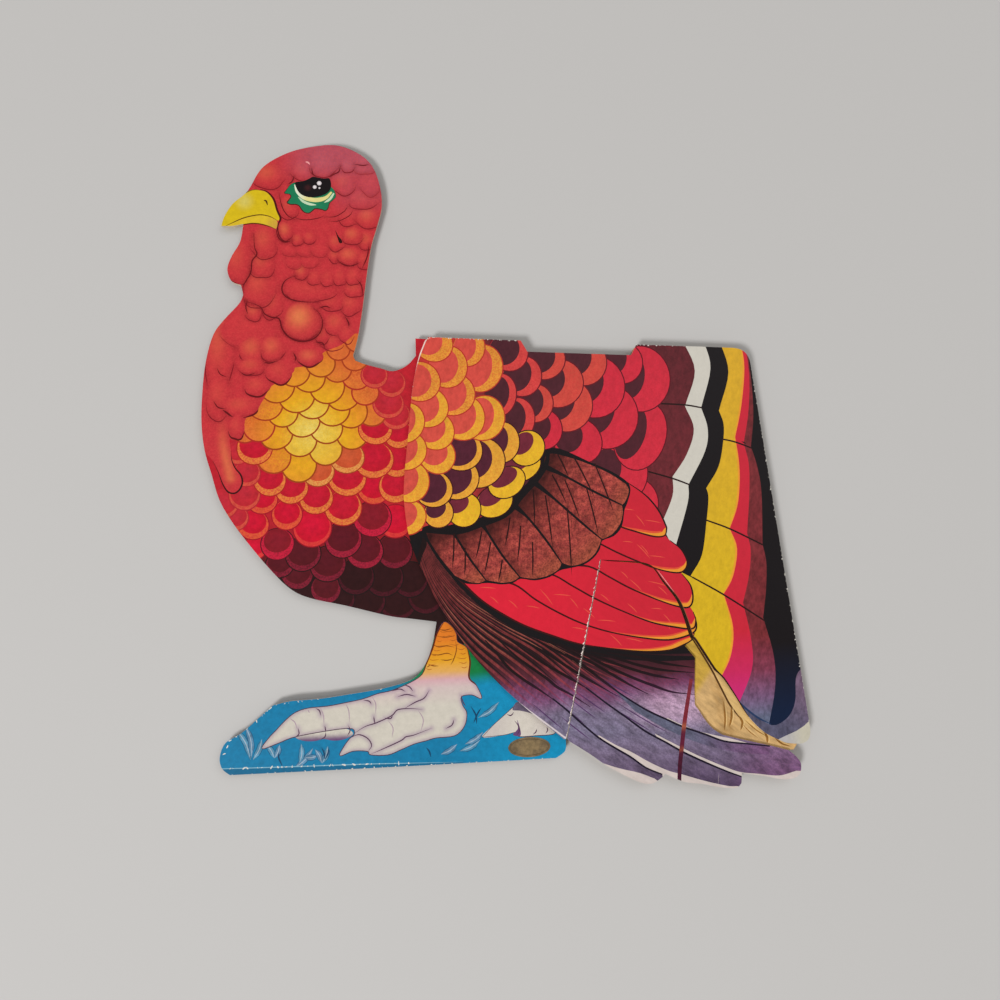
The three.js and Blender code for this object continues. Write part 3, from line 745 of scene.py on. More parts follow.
def draw_tail_corner(picture):
    corner = [(188, 35.6), (184.4, 35), (181.8, 30.9), (180.9, 21.8), (178.6, 16), (174.6, 12), (168.4, 10.2),
              (160, 15.6), (152, 23.4), (150, 20), (158, 8), (176, -6), (194, -4), (194, 36)]
    picture.fill(curve(corner, True, 3), fade(ink(86, 84, 106), ink(118, 94, 116), (170, 8), (187, 32)), 0.9)
    picture.line([(150, 25.4), (156, 19), (162, 14), (168, 10.8)], 0.9, ink(40, 58, 92))
    picture.fill([(171, 3.6), (175, 5.2), (180, 7), (184, 9.2), (187, 11.6), (194, 14), (194, -6), (170, -6)],
                 fade(ink(180, 176, 176), ink(194, 188, 170), (174, 5), (184, 6)), 0.15)


# The wing's small coverts: the lines between them, from root to tip and from the topmost down, and their tips

COVERT_SIDES = [
    [(67.5, 140.5), (71, 142.2), (85.2, 137.8), (97.8, 131.9), (106, 126)],
    [(66.4, 135.6), (75.8, 130.9), (88.4, 123.6), (97, 119), (103.6, 115.6)],
    [(60.8, 128.6), (69.5, 121), (78.9, 112.2), (86.6, 105), (92.8, 99.6)],
    [(51.6, 117.2), (58.4, 110.5), (66.3, 99.9), (73.2, 89)],
    [(35.6, 109.6), (38.8, 104.4), (45.1, 93.8), (53, 83.2)],
    [(21, 106.4), (23.8, 102.9), (30.1, 92.3), (37.2, 82.2)],
    [(8.4, 105.4), (11.2, 100.6), (15.9, 93), (22.4, 85)],
]
COVERT_TIPS = [
    [(107.4, 122.4), (105.4, 117.4)], [(103.8, 111.5), (102, 106.2), (98.4, 102), (94.6, 100)],
    [(91.4, 96.2), (88.6, 92), (83.6, 88.6), (77.8, 87.4)],
    [(71.6, 86), (66.6, 83.2), (60.4, 82), (55.2, 82.6)], [(50, 81.2), (44.8, 80.6), (39.6, 81.6)],
    [(34.4, 81), (30.4, 81.2), (25.4, 83.2)],
]
# Barbs: start and end of each
BARBS = [
    (22.8, 103, 22, 92.5), (27.8, 96.4, 27.4, 88), (35.6, 104, 33.5, 95.7), (39.6, 98.6, 37.4, 89.3),
    (44.9, 90.7, 43.5, 84.3), (49.2, 110, 47.4, 101.6), (54.2, 105.7, 52.8, 95), (59.6, 97.9, 59.2, 87.6),
    (61, 123, 61, 112), (67, 119, 68.5, 103), (77, 112, 77.4, 92), (71, 130, 75, 121), (77, 127, 81, 115),
    (87, 123, 90, 108), (74, 140, 77, 133), (82, 138, 88, 125), (92, 134, 97, 119),
]


def covert_paint(tip, root):
    """Brown with lighter streaks, darker along one side, and tawny towards the tip."""
    tip, root = np.array(tip, float), np.array(root, float)
    way = tip - root
    side = np.array([way[1], -way[0]]) / (way @ way)

    def paint(points):
        share = (points - root) @ way / (way @ way)
        across = (points - root) @ side
        x, y = points[:, 0], points[:, 1]
        wave = np.sin(y * 1.7 + 1.5 * np.sin(x * 0.6)) * np.sin(x * 0.7 + y * 0.5)
        body = ink(136, 50, 50) + (0.5 + 0.5 * wave)[:, None] * (ink(188, 82, 70) - ink(136, 50, 50))
        body = body * (1 - 0.4 * smoothstep(0.04, 0.24, across))[:, None]
        body = body * (0.12 + 0.88 * smoothstep(0.0, 0.5, share))[:, None]
        ends = smoothstep(0.74, 1.04, share)[:, None]
        return body + 0.6 * ends * (ink(168, 88, 60) - body)
    return paint


def draw_coverts(picture):
    backing = [(8, 108), (24, 108), (36, 112), (50, 118), (60, 130), (66, 142), (74, 144), (88, 137.4),
               (99, 132.2), (106.4, 127), (107.9, 122.6), (106, 116.6), (104.4, 113), (102.8, 105.6),
               (98.6, 101), (93, 99), (91.6, 95), (88.4, 91), (83.4, 87.9), (77, 86.6), (72, 85.6),
               (67, 82.7), (60, 81.4), (53.4, 82.4), (49.8, 80.6), (44.4, 80.1), (38, 81), (30, 80.8),
               (25, 82.6), (16, 91.6)]
    picture.fill(curve(backing, True, 3), BLACK, 0.15)
    for upper, tip, lower in zip(COVERT_SIDES[:-1], COVERT_TIPS, COVERT_SIDES[1:]):
        root = (np.array(upper[0]) + np.array(lower[0])) / 2
        shape = np.concatenate([curve(upper), curve(tip), curve(lower)[::-1]])
        picture.fill(shape, covert_paint(np.mean(tip, axis=0), root), 1.0, ink(74, 30, 30), 0.45)
        picture.line([upper[-1], *tip, lower[-1]], 0.6, BLACK, 0.7, 0.7, 0.1)
    margin = [(8, 107), (24, 105.6), (36, 109), (47.6, 113.4), (55, 121.6), (62.6, 129.4), (67.6, 136),
              (69.4, 143)]
    picture.line(margin, 3.4, BLACK, 0.8, 0.4, 0.1)
    for side in COVERT_SIDES:
        picture.line(side, 1.1, BLACK, 2.6, 0.5, 0.1)
    for start_x, start_y, end_x, end_y in BARBS:
        start, end = np.array([start_x, start_y]), np.array([end_x, end_y])
        start, end = start + 0.15 * (start - end), end + 0.45 * (end - start)
        picture.line([start, (start + end) / 2 + (0.2, 0), end], 0.7, ink(44, 16, 18), 0.9, 0.05)
        beside = start + (1.6, -2.2)
        short = [beside, beside + 0.45 * (end - start)]
        picture.line(short, 0.4, ink(60, 20, 22), 0.6, 0.05, smooth=False)


# The red flight feathers: the upper edge and tip of each, drawn from the lowest up

FLIGHT_EDGES = [
    [(24, 84), (33.5, 74.2), (42.7, 67.5), (54.3, 60.8), (67.7, 55.4), (80, 51.2), (96.4, 48.2),
     (111, 46.4), (121.8, 46.6), (128, 48.4), (132.8, 50.8), (134.6, 54)],
    [(36, 83), (50, 80), (60, 72.5), (71, 65.8), (82, 60.4), (95, 56), (110, 52.8), (122, 51.4),
     (131, 53), (135.2, 55.4), (135.6, 60), (133, 65.2)],
    [(52, 84), (67, 84.2), (78, 78), (88, 72), (100, 66), (114, 60), (125.5, 57.2), (133.8, 56.2),
     (135.6, 60), (134.6, 64)],
    [(74, 88), (86, 87), (95, 82), (105, 76.2), (118, 70.2), (127.3, 66.8), (132.7, 66.3), (134.9, 70),
     (134.2, 76.4), (130.4, 82)],
    [(84, 101), (91, 98), (99, 93.6), (109, 88.8), (119, 84.6), (128, 82.6), (132, 84), (133.3, 88),
     (130.8, 93.6), (125.7, 98)],
    [(96, 110), (101.8, 105.6), (110, 102.6), (118, 100.2), (123, 100.4), (124.3, 103.4), (123.8, 106),
     (120.8, 112.9), (115, 120.2), (106, 127)],
]
HEM_STARTS = [86, 90, 101, 103, 110, 103]
FLIGHT_ROOT = [(104, 122), (84, 128), (60, 110), (44, 96), (30, 86)]


def hem_of(run, start_x, width):
    """A crescent along a feather's lower edge, from a place on it round to its tip."""
    part = run[np.argmax(run[:, 0] >= start_x):np.argmax(run[:, 0]) + 3]
    way = np.gradient(part, axis=0)
    way /= np.hypot(way[:, 0], way[:, 1])[:, None]
    inward = np.stack([-way[:, 1], way[:, 0]], axis=1)
    swell = width * np.sin(math.pi * np.linspace(0, 1, len(part)) ** 1.5)
    return np.concatenate([part, (part + swell[:, None] * inward)[::-1]])


def draw_flight(picture):
    red = fade(ink(218, 36, 56), ink(200, 38, 54), (45, 74), (124, 92))
    chance = random.Random(SEED)
    for edge, hem_start in zip(FLIGHT_EDGES, HEM_STARTS):
        run = curve(edge)
        picture.fill(np.concatenate([run, FLIGHT_ROOT]), red, 0.12)
        picture.fill(hem_of(run, hem_start - 6, 2.7), ink(222, 84, 54), 0.2)
        picture.fill(hem_of(run, hem_start, 2.1), ink(230, 148, 50), 0.2)
        for barb in range(13):
            start = along(run, 0.06 + 0.066 * barb) + (chance.uniform(-3, 1), chance.uniform(4, 10))
            slope = chance.uniform(0.1, 0.3) if barb % 3 == 1 else chance.uniform(0.9, 1.4)
            end = start + chance.uniform(5, 10) * np.array([1, -slope]) / math.hypot(1, slope)
            if inside(run, np.array([start, end, end + (1.5, -1.5)])).all():
                picture.line([start, (start + end) / 2 + (0.2, 0.15), end], 0.34, ink(226, 88, 66), 0.1, 0.1)
        picture.line(run[:len(run) // 2], 0.8, ink(64, 12, 20), 1.3, 0.8, smooth=False)
        picture.line(run[len(run) // 2 - 1:], 0.8, BROWN_BLACK, 0.8, 0.4, smooth=False)


# The plumes: five guide runs fan out from the thigh to the wing's three tips

GUIDES = [curve(points) for points in [
    [(9, 106), (14, 96), (24, 83), (36, 71), (52, 60.5), (70, 53.4), (90, 48.5), (112, 45.4), (136, 44.6)],
    [(8.5, 103), (14, 91), (26, 76), (44, 63.5), (65.5, 51.8), (90, 32.7), (116.4, 16), (140, 6.6),
     (170, 0.6)],
    [(8, 101), (13, 88), (24, 73.5), (42, 60), (60, 48.5), (80, 31), (110.9, 9), (134, -4), (153, -12.8)],
    [(7, 98), (12, 84), (21, 69), (34, 55), (50, 42), (66, 27), (84, 11), (100, -0.8), (116, -10)],
    [(5, 92), (11, 76), (17, 64), (28, 48.5), (40, 35.6), (54, 22.6), (70, 8.6), (88, -4), (108, -16)],
]]
PLUME_HEIGHTS = [-18, -8, 2, 12, 20, 27, 32, 37, 45, 60, 110]
PLUME_INKS = [
    ink(80, 62, 90), ink(100, 84, 108), ink(118, 104, 128), ink(122, 114, 138), ink(126, 114, 138),
    ink(126, 80, 116), ink(114, 56, 84), ink(84, 38, 48), ink(48, 24, 28), ink(36, 20, 22),
    ink(32, 18, 20),
]


def plume(points):
    x, y = points[:, 0], points[:, 1]
    wavy = np.stack([x, y + 1.2 * np.sin(x * 0.23)], axis=1)
    colour = by_height(PLUME_HEIGHTS, PLUME_INKS)(wavy)
    bright = smoothstep(92, 124, x) * smoothstep(8, 19, y) * smoothstep(32, 22, y)
    tip = smoothstep(140, 170, x)
    colour = colour + 0.72 * bright[:, None] * (ink(208, 170, 196) - colour)
    return colour + 0.45 * tip[:, None] * (ink(136, 84, 126) - colour)


def sweep(share):
    """A run of the fan: 0 is the first guide and 4 the last."""
    index = min(int(share), len(GUIDES) - 2)
    rest = share - index
    return GUIDES[index] * (1 - rest) + GUIDES[index + 1] * rest


def stretch_of(run, start, end):
    return np.array([along(run, share) for share in np.linspace(start, end, 26)])


# Black lines between the wing's feathers, and the upper edges of the pale strips that they cast
FIRST_GAP = [
    (66, 27), (71.8, 22), (80.2, 14.1), (86.8, 8.3), (94.3, 3.3), (101, -0.9), (107.7, -5.9),
    (115.2, -9.3),
]
SECOND_GAP = [(81.8, 31.2), (91, 23.7), (99.3, 17.4), (108.5, 10.3), (117.7, 4.9), (126, -0.1), (136.8, -5.5),
              (146, -9.7), (152.3, -12.2)]
THIRD_GAP = [(94.3, 30.3), (101.8, 24.9), (110.2, 19.5), (119.3, 14.9), (126, 11.6), (136, 7.8), (145.2, 4.1),
             (156, 2.4), (166.8, 0.8)]
FIRST_PALE = [(86.8, 9.5), (94.3, 4.9), (101, 1.6), (109.3, -3.4), (117.7, -7.6), (124.3, -9.7), (134.3, -13),
              (145.2, -15.9), (150.2, -16.3)]
SECOND_PALE = [(112.7, 9.1), (120.2, 4.9), (129.3, -0.1), (136.8, -3.8), (145.2, -7.6), (151.8, -10.1),
               (160.2, -11.3), (170.2, -12.6), (178.5, -10.9)]
THIRD_PALE = [(119.3, 15.8), (126, 12.4), (132.7, 9.5), (141, 7), (149.3, 4.9), (156, 2.8)]
LOWEST_PALE = [(80.2, 1.2), (85.2, -1.8), (95.2, -5.5), (104.3, -8), (111.4, -10.9)]

# Dark lines between the plumes, from the fan outwards
PLUME_LINES = [
    [(35.8, 54.8), (41, 48.6), (46.1, 41.9), (52.9, 36.2), (60.4, 31), (67.4, 25.8)],
    [(42, 54.6), (50.2, 46.6), (56.2, 41.8), (63.7, 36.2), (68.2, 32.2), (75, 28.2), (83.3, 22.5)],
    [(47.4, 54.4), (56.4, 47.5), (64, 42.3), (71.6, 37.6), (77.6, 33.9), (83, 30.3)],
    [(53.6, 54.1), (64.2, 47.6), (74.1, 40.7), (81.7, 35.8), (87, 32.5), (96.1, 26.8)],
    [(59.8, 53.9), (69, 48.5), (79.6, 42.4), (87.2, 36.2), (94.4, 30.4), (99, 26.8)],
    [(64.5, 53.7), (76, 47.8), (84.4, 42.9), (93.5, 37.2), (102.6, 31.5), (111, 26.9)],
    [(69.1, 52), (79.9, 47.3), (91.3, 41.1), (102.8, 35.3), (112.9, 31), (122.1, 27.5), (132.8, 25.9)],
    [(78.4, 48.5), (87.6, 45.1), (99.2, 40.4), (110.8, 36.4), (118.6, 34.4), (125.7, 33.1)],
    [(84.6, 47.5), (95.5, 44.4), (107.1, 40.4), (118.8, 37.6), (133.4, 35.8)],
    [(92.4, 46.8), (107.3, 43.9), (119, 40.7), (133.6, 38.1)],
]

# Where the strands of the fan start, from its first guide to its last
STRANDS = np.concatenate([np.linspace(0.08, 0.86, 6), np.linspace(1.04, 4, 11)])


def strand_shape(share, wide, start, end):
    """A strand of the fan, as wide as its share of the fan and drawn out to a point."""
    upper = stretch_of(sweep(share), start, end)
    lower = stretch_of(sweep(min(share + wide, 4)), start, end)
    taper = (np.linspace(1, 0, len(upper)) ** 0.8)[:, None]
    return np.concatenate([upper, (upper + taper * (lower - upper))[::-1]])


def draw_plumes(picture):
    violet = ink(70, 56, 86)
    beyond = [(180, 4), (186, -10), (176, -22), (110, -24)]
    picture.fill(np.concatenate([GUIDES[0], beyond, GUIDES[4][::-1]]), plume, 0.5)
    low = GUIDES[4][GUIDES[4][:, 1] < 36]
    picture.fill(np.concatenate([[(142, 36)], beyond, low[::-1]]), plume, 1.0, violet, 0.3)
    chance = random.Random(SEED)
    strand = by_height([16, 22, 27, 34, 44, 70],
                       [ink(112, 106, 130), ink(112, 92, 120), ink(128, 64, 98), ink(132, 54, 66),
                        ink(116, 50, 50), ink(106, 43, 43)])
    for number, share in enumerate(STRANDS[:-1]):
        gap = STRANDS[number + 1] - share
        end = chance.uniform(0.62, 0.72) + 0.22 * max(0, 1 - share)
        dark_end = end - chance.uniform(0.1, 0.22)
        body = 0.55 if share < 1 else 0.8
        picture.fill(strand_shape(share, (body + 0.06) * gap, 0.02, end), strand, 0.9)
        picture.fill(strand_shape(share + body * gap, (1 - body) * gap, 0.02, dark_end), BLACK, 0.1)
        line = stretch_of(sweep(share + body * gap), 0.25, dark_end)
        picture.fill(ribbon(line, 0.4, 0.6, 0.05), BLACK, 0.1)
        for place in (0.2, 0.5):
            run = sweep(share + place * body * gap)
            edge = stretch_of(run, chance.uniform(0.1, 0.3), end - chance.uniform(0.2, 0.4))
            tone = ink(142, 82, 66) if place < 0.3 else ink(70, 30, 34)
            picture.fill(ribbon(edge, 0.4, 0.1, 0.1), tone, 0.6)
    picture.fill(ribbon(stretch_of(sweep(0.05), 0.06, 0.98), 4.2, 0.3, 0.4), BLACK, 0.1)
    for number in range(9):
        start = 0.56 + 0.03 * (number % 4)
        run = stretch_of(sweep(0.8 + 0.36 * number), start, start + chance.uniform(0.08, 0.16))
        picture.fill(ribbon(run, 0.5, 0.1, 0.1), ink(80, 52, 92), 0.5)

    pale = ink(206, 192, 186)
    first, second, third = curve(FIRST_GAP), curve(SECOND_GAP), curve(THIRD_GAP)
    slate = np.concatenate([third, curve([(166, -3), (150, -1), (134, 3.6), (118, 11), (104, 19.6)])])
    dim = fade(ink(94, 96, 116), ink(118, 82, 118), (124, 6), (164, -2))
    picture.fill(slate, dim, 1.0, violet, 0.3)
    strips = [
        (LOWEST_PALE, [(118, -16), (96, -20), (74, -4)]),
        (FIRST_PALE, [(158, -20), (150, -26), (116, -18), *first[14:][::-1]]),
        (SECOND_PALE, [(190, -12), (176, -26), (154, -18), *second[18:][::-1]]),
        (THIRD_PALE, third[14:35][::-1]),
    ]
    for upper, rest in strips:
        picture.fill(np.concatenate([curve(upper), rest]), pale, 0.2)
    for run in PLUME_LINES:
        picture.line(run, 1.3, by_height([22, 38], [ink(56, 28, 52), ink(32, 18, 22)]), 0.4, 0.15)
    for gap in (FIRST_GAP, SECOND_GAP, THIRD_GAP):
        picture.line(gap, 0.9, ink(30, 24, 40), 0.8, 0.7)
    picture.line([(141.7, -10.5), (141, -15.1)], 0.3, pale, smooth=False)


# Wear of the card: worn hinge, stain and chipped edges; and the slit that frees the wing tip, painted dark as
# the shade in its gap

SLIT = [(91.5, 90), (107.5, 88.5), (114.5, 87), (118, 84), (121, 79), (127.5, 70), (131, 60.5), (133, 53),
        (134.6, 50.8), (138.6, 44), (143, 36.6), (147, 32.4), (152, 24.6), (157.5, 15)]


def draw_wear(picture):
    chance = random.Random(SEED)
    hinge = np.array([(71.5, 9.0), (91.5, 90.0)])
    flakes = 76
    for number in range(flakes):
        share = (number + chance.uniform(0, 0.8)) / flakes
        start = along(hinge, share) + np.array([chance.uniform(-0.55, 0.55), 0])
        end = along(hinge, min(1, share + chance.uniform(0.006, 0.02)))
        picture.line([start, end], chance.uniform(0.4, 1.15), ink(238, 222, 214), 0.5, 0.3, smooth=False)
    stain = [(131.6, 33), (129, 22), (127, 13), (125, 2), (123.6, -6), (122.8, -14)]
    rusty = by_height([-8, 0, 1.5, 3, 9, 12, 14, 24],
                      [ink(70, 24, 44), ink(78, 26, 46), ink(160, 78, 62), ink(92, 28, 48), ink(92, 30, 50),
                       ink(160, 84, 62), ink(118, 36, 48), ink(122, 44, 54)])
    picture.line(stain, 2.0, rusty, 0.8, 0.9, 0.6)
    # The slit: a dark line painted as the shade in its gap, thin along its first stretch, with a thin lighter
    # brown painted highlight along it
    cut = curve(SLIT)
    turn_back = 18
    picture.line(cut[:turn_back], 0.5, ink(74, 26, 26), 0.2, 1.0, smooth=False)
    picture.line(cut[turn_back - 1:], 1.9, ink(40, 24, 18), 0.3, 0.05, smooth=False)
    picture.line(cut[turn_back + 2:46] + (0.75, 0.4), 0.3, ink(128, 84, 52), smooth=False)
    picture.line([(118.6, 84.4), (122, 79.4), (126, 73.6)], 0.3, ink(226, 160, 156))


def chip_edge(picture, run, count, size, seed):
    """Small flakes of lost ink along a cut edge."""
    chance = random.Random(seed)
    run = np.asarray(run, float)
    for number in range(count):
        x, y = along(run, (number + chance.random()) / count)
        reach = size * chance.uniform(0.3, 1.0)
        flake = oval(x, y, reach, reach * chance.uniform(0.25, 0.6), chance.uniform(0, 3), 0.2)
        picture.fill(flake, WHITE_CARD, 0.1)


def front_picture():
    picture = Picture()
    draw_breast(picture)
    draw_neck(picture)
    draw_head(picture)
    draw_base(picture)
    instep = [(-84, 6), (-80, 15), (-75, 18), (-66, 25), (-61, 29.6), (-40, 31.5), (-26, 33), (-10, 35)]
    chip_edge(picture, instep[:5], 9, 0.8, 2)
    chip_edge(picture, instep[3:], 18, 0.5, 9)
    chip_edge(picture, [(-80, 0), (66, 0)], 34, 0.45, 3)
    return picture


def side_picture(with_tail):
    picture = Picture()
    picture.fill([(-6, -24), (196, -24), (196, 206), (-6, 206)], BLACK, 0.1)
    draw_plumes(picture)
    if with_tail:
        draw_tail(picture)
        draw_tail_corner(picture)
    picture.fill([(-6, 104), (40, 112), (66, 134), (110, 128), (122, 206), (-6, 206)],
                 fade(ink(190, 54, 52), MAROON, (24, 0), (48, 0)), 0.3)
    draw_scales(picture, ("rose", "coral", "cherry", "flame", "blaze"))
    draw_flight(picture)
    draw_coverts(picture)
    draw_scales(picture, ("honey", "lemon", "flame", "blaze"))
    draw_wear(picture)
    chip_edge(picture, [(12, 198.8), (14, 200), (36, 198.9), (58, 197.8)], 34, 0.7, 5)
    chip_edge(picture, [(114, 194.8), (140, 193.8)], 22, 0.6, 6)
    chip_edge(picture, [(172, 182), (180, 88), (187, 8)], 70, 0.65, 7)
    fold = [(12.4, 199.4), (8.4, 189.4), (6, 181), (4, 168), (2.4, 150)]
    picture.line(fold, 0.6, fade(ink(236, 214, 204), ink(214, 110, 100), (10, 196), (4, 172)), 0.9, 0.1)
    chip_edge(picture, fold[:4], 8, 0.6, 8)
    picture.line([(44, 31.8), (51, 25.2), (61, 17.2), (71.4, 8.9)], 0.75, ink(210, 198, 200), 0.4, 1)
    return picture


# Wrinkles of the bare board, each a line of painted shade with a painted highlight beside it: width and
# points
WRINKLES = [
    (1.2, [(150.1, 19.4), (150, 14.5), (148.6, 10.4)]), (1.2, [(153.2, 15.3), (155, 12), (153.8, 8.4)]),
    (0.4, [(154.8, 11.3), (158, 7.6), (161.8, 4.6)]), (0.5, [(156.3, 12.9), (161, 8.4), (166, 5)]),
    (1.4, [(165, 7), (166.4, 4.6), (166, 2)]), (0.8, [(146.6, 22), (146.8, 14), (146, 8.6)]),
    (0.9, [(170, 4), (173, 1.6), (177, 0)]),
]


def bare_picture():
    """Bare board: tan, with brown shading, a painted reflection of the yellow tail on its upper facet, and
    the crease and wrinkles of the tail's hem drawn with painted shade and painted highlights.
    """
    picture = Picture()

    def tan(points):
        x, y = points[:, 0], points[:, 1]
        # The upper facet turns yellower: a painted reflection of the yellow tail
        tail_reflection = smoothstep(-1.5, 2.0, 0.63 * (y - 28.5) - 0.78 * (x - 136)) * smoothstep(14, 26, y)
        colour = KRAFT + tail_reflection[:, None] * (ink(196, 158, 66) - KRAFT)
        across = (x - 143) + 0.215 * (y - 33)
        streaks = np.exp(-(across / 3.4) ** 2) * (0.62 + 0.38 * np.sin(2.1 * across + 0.6 * np.sin(0.5 * y)))
        shade = streaks * smoothstep(4, 9, y) * smoothstep(40, 30, y)
        return colour + 0.6 * shade[:, None] * (ink(150, 106, 48) - colour)

    picture.fill([(-20, -24), (196, -24), (196, 206), (-20, 206)], tan, 0.6)
    # The hem's fold: a dark line of painted shade along it, and the raised strip beside it filled lighter as
    # painted light on its raised face
    crease = [(134, 51), (138, 44), (142.3, 36), (146.2, 27.4), (149.3, 20.7), (152.4, 16), (154.4, 13.2)]
    picture.fill(crease[1:] + [(166, 4), (172, 4), (158, 20), (146, 38)], ink(216, 178, 116), 0.4)
    picture.line(crease, 0.9, ink(84, 54, 24), 0.8, 0.15)
    wrinkle_shade = ink(146, 100, 44)
    for width, run in WRINKLES:
        # Painted shade in the wrinkle, then a painted highlight just beside it
        picture.line(run, width, wrinkle_shade, 0.1, 0.1, 0.6)
        picture.line([(x + 0.8, y + 0.2) for x, y in run], 0.5 * width, ink(222, 186, 126), 0.1, 0.1, 0.4)
    return picture


def sticker_picture(x, y, half_long, half_wide):
    picture = Picture()
    gold = glow(ink(134, 112, 76), ink(106, 88, 62), x, y, half_long)
    picture.fill(oval(x, y, half_long + 2, half_wide + 2), gold, 0.9)
    ring = oval(x, y, half_long - 0.9, half_wide - 0.9)
    picture.fill(ribbon(np.concatenate([ring, ring[:2]]), 0.35, 1, 1), ink(92, 74, 46), 0.3)
    return picture


# Cutting the card

# The material slots of a sheet, in order
PRINTED, CUT, BARE, SLIT_SHADE = range(4)
# Millimetres from the slit within which a cut edge takes the dark slit material, painted as the shade in the
# gap
SLIT_REACH = 0.7
# A corner of an outline stays sharp when it turns by more than this
SHARP_TURN = math.radians(38)
# The length of a step along a rounded edge, and the most steps for one edge
ROUND_STEP = 0.7
MOST_STEPS = 6
# Heights in metres closer than this are the same
LEVEL = 1e-7


def add_object(name, data):
    thing = bpy.data.objects.new(name, data)
    bpy.context.scene.collection.objects.link(thing)
    return thing


def add_mesh(name, vertices, faces):
    mesh = bpy.data.meshes.new(name)
    mesh.from_pydata(vertices, [], faces)
    return add_object(name, mesh)


def rim_of(polygons):
    """The edge round polygons that share their inner edges, as one loop of corners."""
    unpaired = {}
    for corners in polygons:
        for start, end in zip(corners, corners[1:] + corners[:1]):
            if (end, start) in unpaired:
                del unpaired[(end, start)]
            else:
                unpaired[(start, end)] = True
    after = dict(unpaired.keys())
    loop = [next(iter(after))]
    while after[loop[-1]] != loop[0]:
        loop.append(after[loop[-1]])
    return np.array(loop)


def outline_of(node):
    """The node's cut outline, counter-clockwise, in drawing millimetres."""
    mesh = frame["nodes"][node].data
    spots = np.array([vertex.co for vertex in mesh.vertices])
    top = spots[:, 2].max()
    polygons = []
    for polygon in mesh.polygons:
        corners = spots[list(polygon.vertices)]
        if top - corners[:, 2].min() < LEVEL:
            polygons.append([tuple(np.round(corner[:2] / MM, 4)) for corner in corners])
    return rounded(rim_of(polygons) - ORIGIN)


def rounded(loop):
    """A cut outline with its gentle turns drawn as curves and its corners kept."""
    before, after = np.roll(loop, 1, axis=0), np.roll(loop, -1, axis=0)
    come, go = loop - before, after - loop
    come_length, go_length = np.hypot(*come.T), np.hypot(*go.T)
    come_way, go_way = come / come_length[:, None], go / go_length[:, None]
    turn = np.arccos(np.clip((come_way * go_way).sum(axis=1), -1, 1))
    middle = come + go
    middle /= np.maximum(np.hypot(*middle.T), 1e-9)[:, None]
    sharp = turn > SHARP_TURN
    run = []
    for index in range(len(loop)):
        other = (index + 1) % len(loop)
        leave = go_way[index] if sharp[index] else middle[index]
        arrive = go_way[index] if sharp[other] else middle[other]
        steps = max(1, min(MOST_STEPS, int(go_length[index] / ROUND_STEP)))
        for step in range(steps):
            part = step / steps
            square, cube = part ** 2, part ** 3
            ends = (2 * cube - 3 * square + 1) * loop[index] + (3 * square - 2 * cube) * loop[other]
            bend = (cube - 2 * square + part) * leave + (cube - square) * arrive
            run.append(ends + go_length[index] * bend)
    return np.array(run)


def inside(outline, points):
    """Which points lie inside a closed outline, by how often it winds round them."""
    x, y = points[:, 0], points[:, 1]
    turns = np.zeros(len(points), int)
    for (x1, y1), (x2, y2) in zip(outline, np.roll(outline, -1, axis=0)):
        if y1 == y2:
            continue
        left = (x2 - x1) * (y - y1) - (x - x1) * (y2 - y1)
        turns += ((y1 <= y) & (y2 > y) & (left > 0)).astype(int)
        turns -= ((y1 > y) & (y2 <= y) & (left < 0)).astype(int)
    return turns != 0


def split(outline, reach):
    """An outline with extra points, so that no edge is longer than the reach."""
    run = []
    for start, end in zip(outline, np.roll(outline, -1, axis=0)):
        count = max(1, int(math.ceil(np.hypot(*(end - start)) / reach)))
        run.extend(start + (end - start) * step / count for step in range(count))
    return np.array(run)


def triangulate(loops, loose):
    """Points and triangles that keep the edges of the loops and use the loose points too."""
    spots, edges = [], []
    for loop in loops:
        start = len(spots)
        spots.extend(loop)
        edges.extend((start + k, start + (k + 1) % len(loop)) for k in range(len(loop)))
    spots.extend(loose)
    found = delaunay_2d_cdt([Vector(spot) for spot in spots], edges, [], 0, WELD, False)
    return np.array([tuple(spot) for spot in found[0]]), np.array([tuple(face) for face in found[2]])


def grid_points(low, high, spacing):
    """Points in rows, every second row moved by half a space."""
    points = []
    for number, y in enumerate(np.arange(low[1], high[1], spacing * 0.87)):
        row = np.arange(low[0] + (number % 2) * spacing / 2, high[0], spacing)
        points.append(np.stack([row, np.full(len(row), y)], axis=1))
    return np.concatenate(points)


def cut_card(name, outline, picture, print_z, bare_z, zones):
    """One sheet of card, with every drawn edge an edge of its printed face."""
    low, high = outline.min(axis=0), outline.max(axis=0)
    shown = []
    for shape in picture.shapes:
        points = shape[0]
        if (points.max(axis=0) > low).all() and (points.min(axis=0) < high).all():
            shown.append(shape)
    loose = grid_points(low, high, GRID)
    for zone, spacing in zones:
        finer = grid_points(zone.min(axis=0), zone.max(axis=0), spacing)
        loose = np.concatenate([loose[~inside(zone, loose)], finer[inside(zone, finer)]])
    loose = loose[inside(outline, loose)]
    spots, faces = triangulate([outline] + [split(shape[0], GRID) for shape in shown], loose)
    faces = faces[inside(outline, spots[faces].mean(axis=1))]
    middles = spots[faces].mean(axis=1)

    owner = np.zeros(len(faces), int)
    for number, shape in enumerate(shown):
        points = shape[0]
        box = ((middles >= points.min(axis=0)) & (middles <= points.max(axis=0))).all(axis=1)
        near = np.nonzero(box)[0]
        owner[near[inside(points, middles[near])]] = number
    colours = np.ones((len(faces), 3, 4))
    specks = np.zeros((len(faces), 3, 4))
    for number, (_, paint, mottle, dots) in enumerate(shown):
        mine = np.nonzero(owner == number)[0]
        if len(mine):
            corners = spots[faces[mine]].reshape(-1, 2)
            colours[mine, :, :3] = paint(corners).reshape(-1, 3, 3)
            colours[mine, :, 3] = mottle
            specks[mine] = dots
    return card_mesh(name, spots, faces, {"print": colours, "specks": specks}, print_z, bare_z)


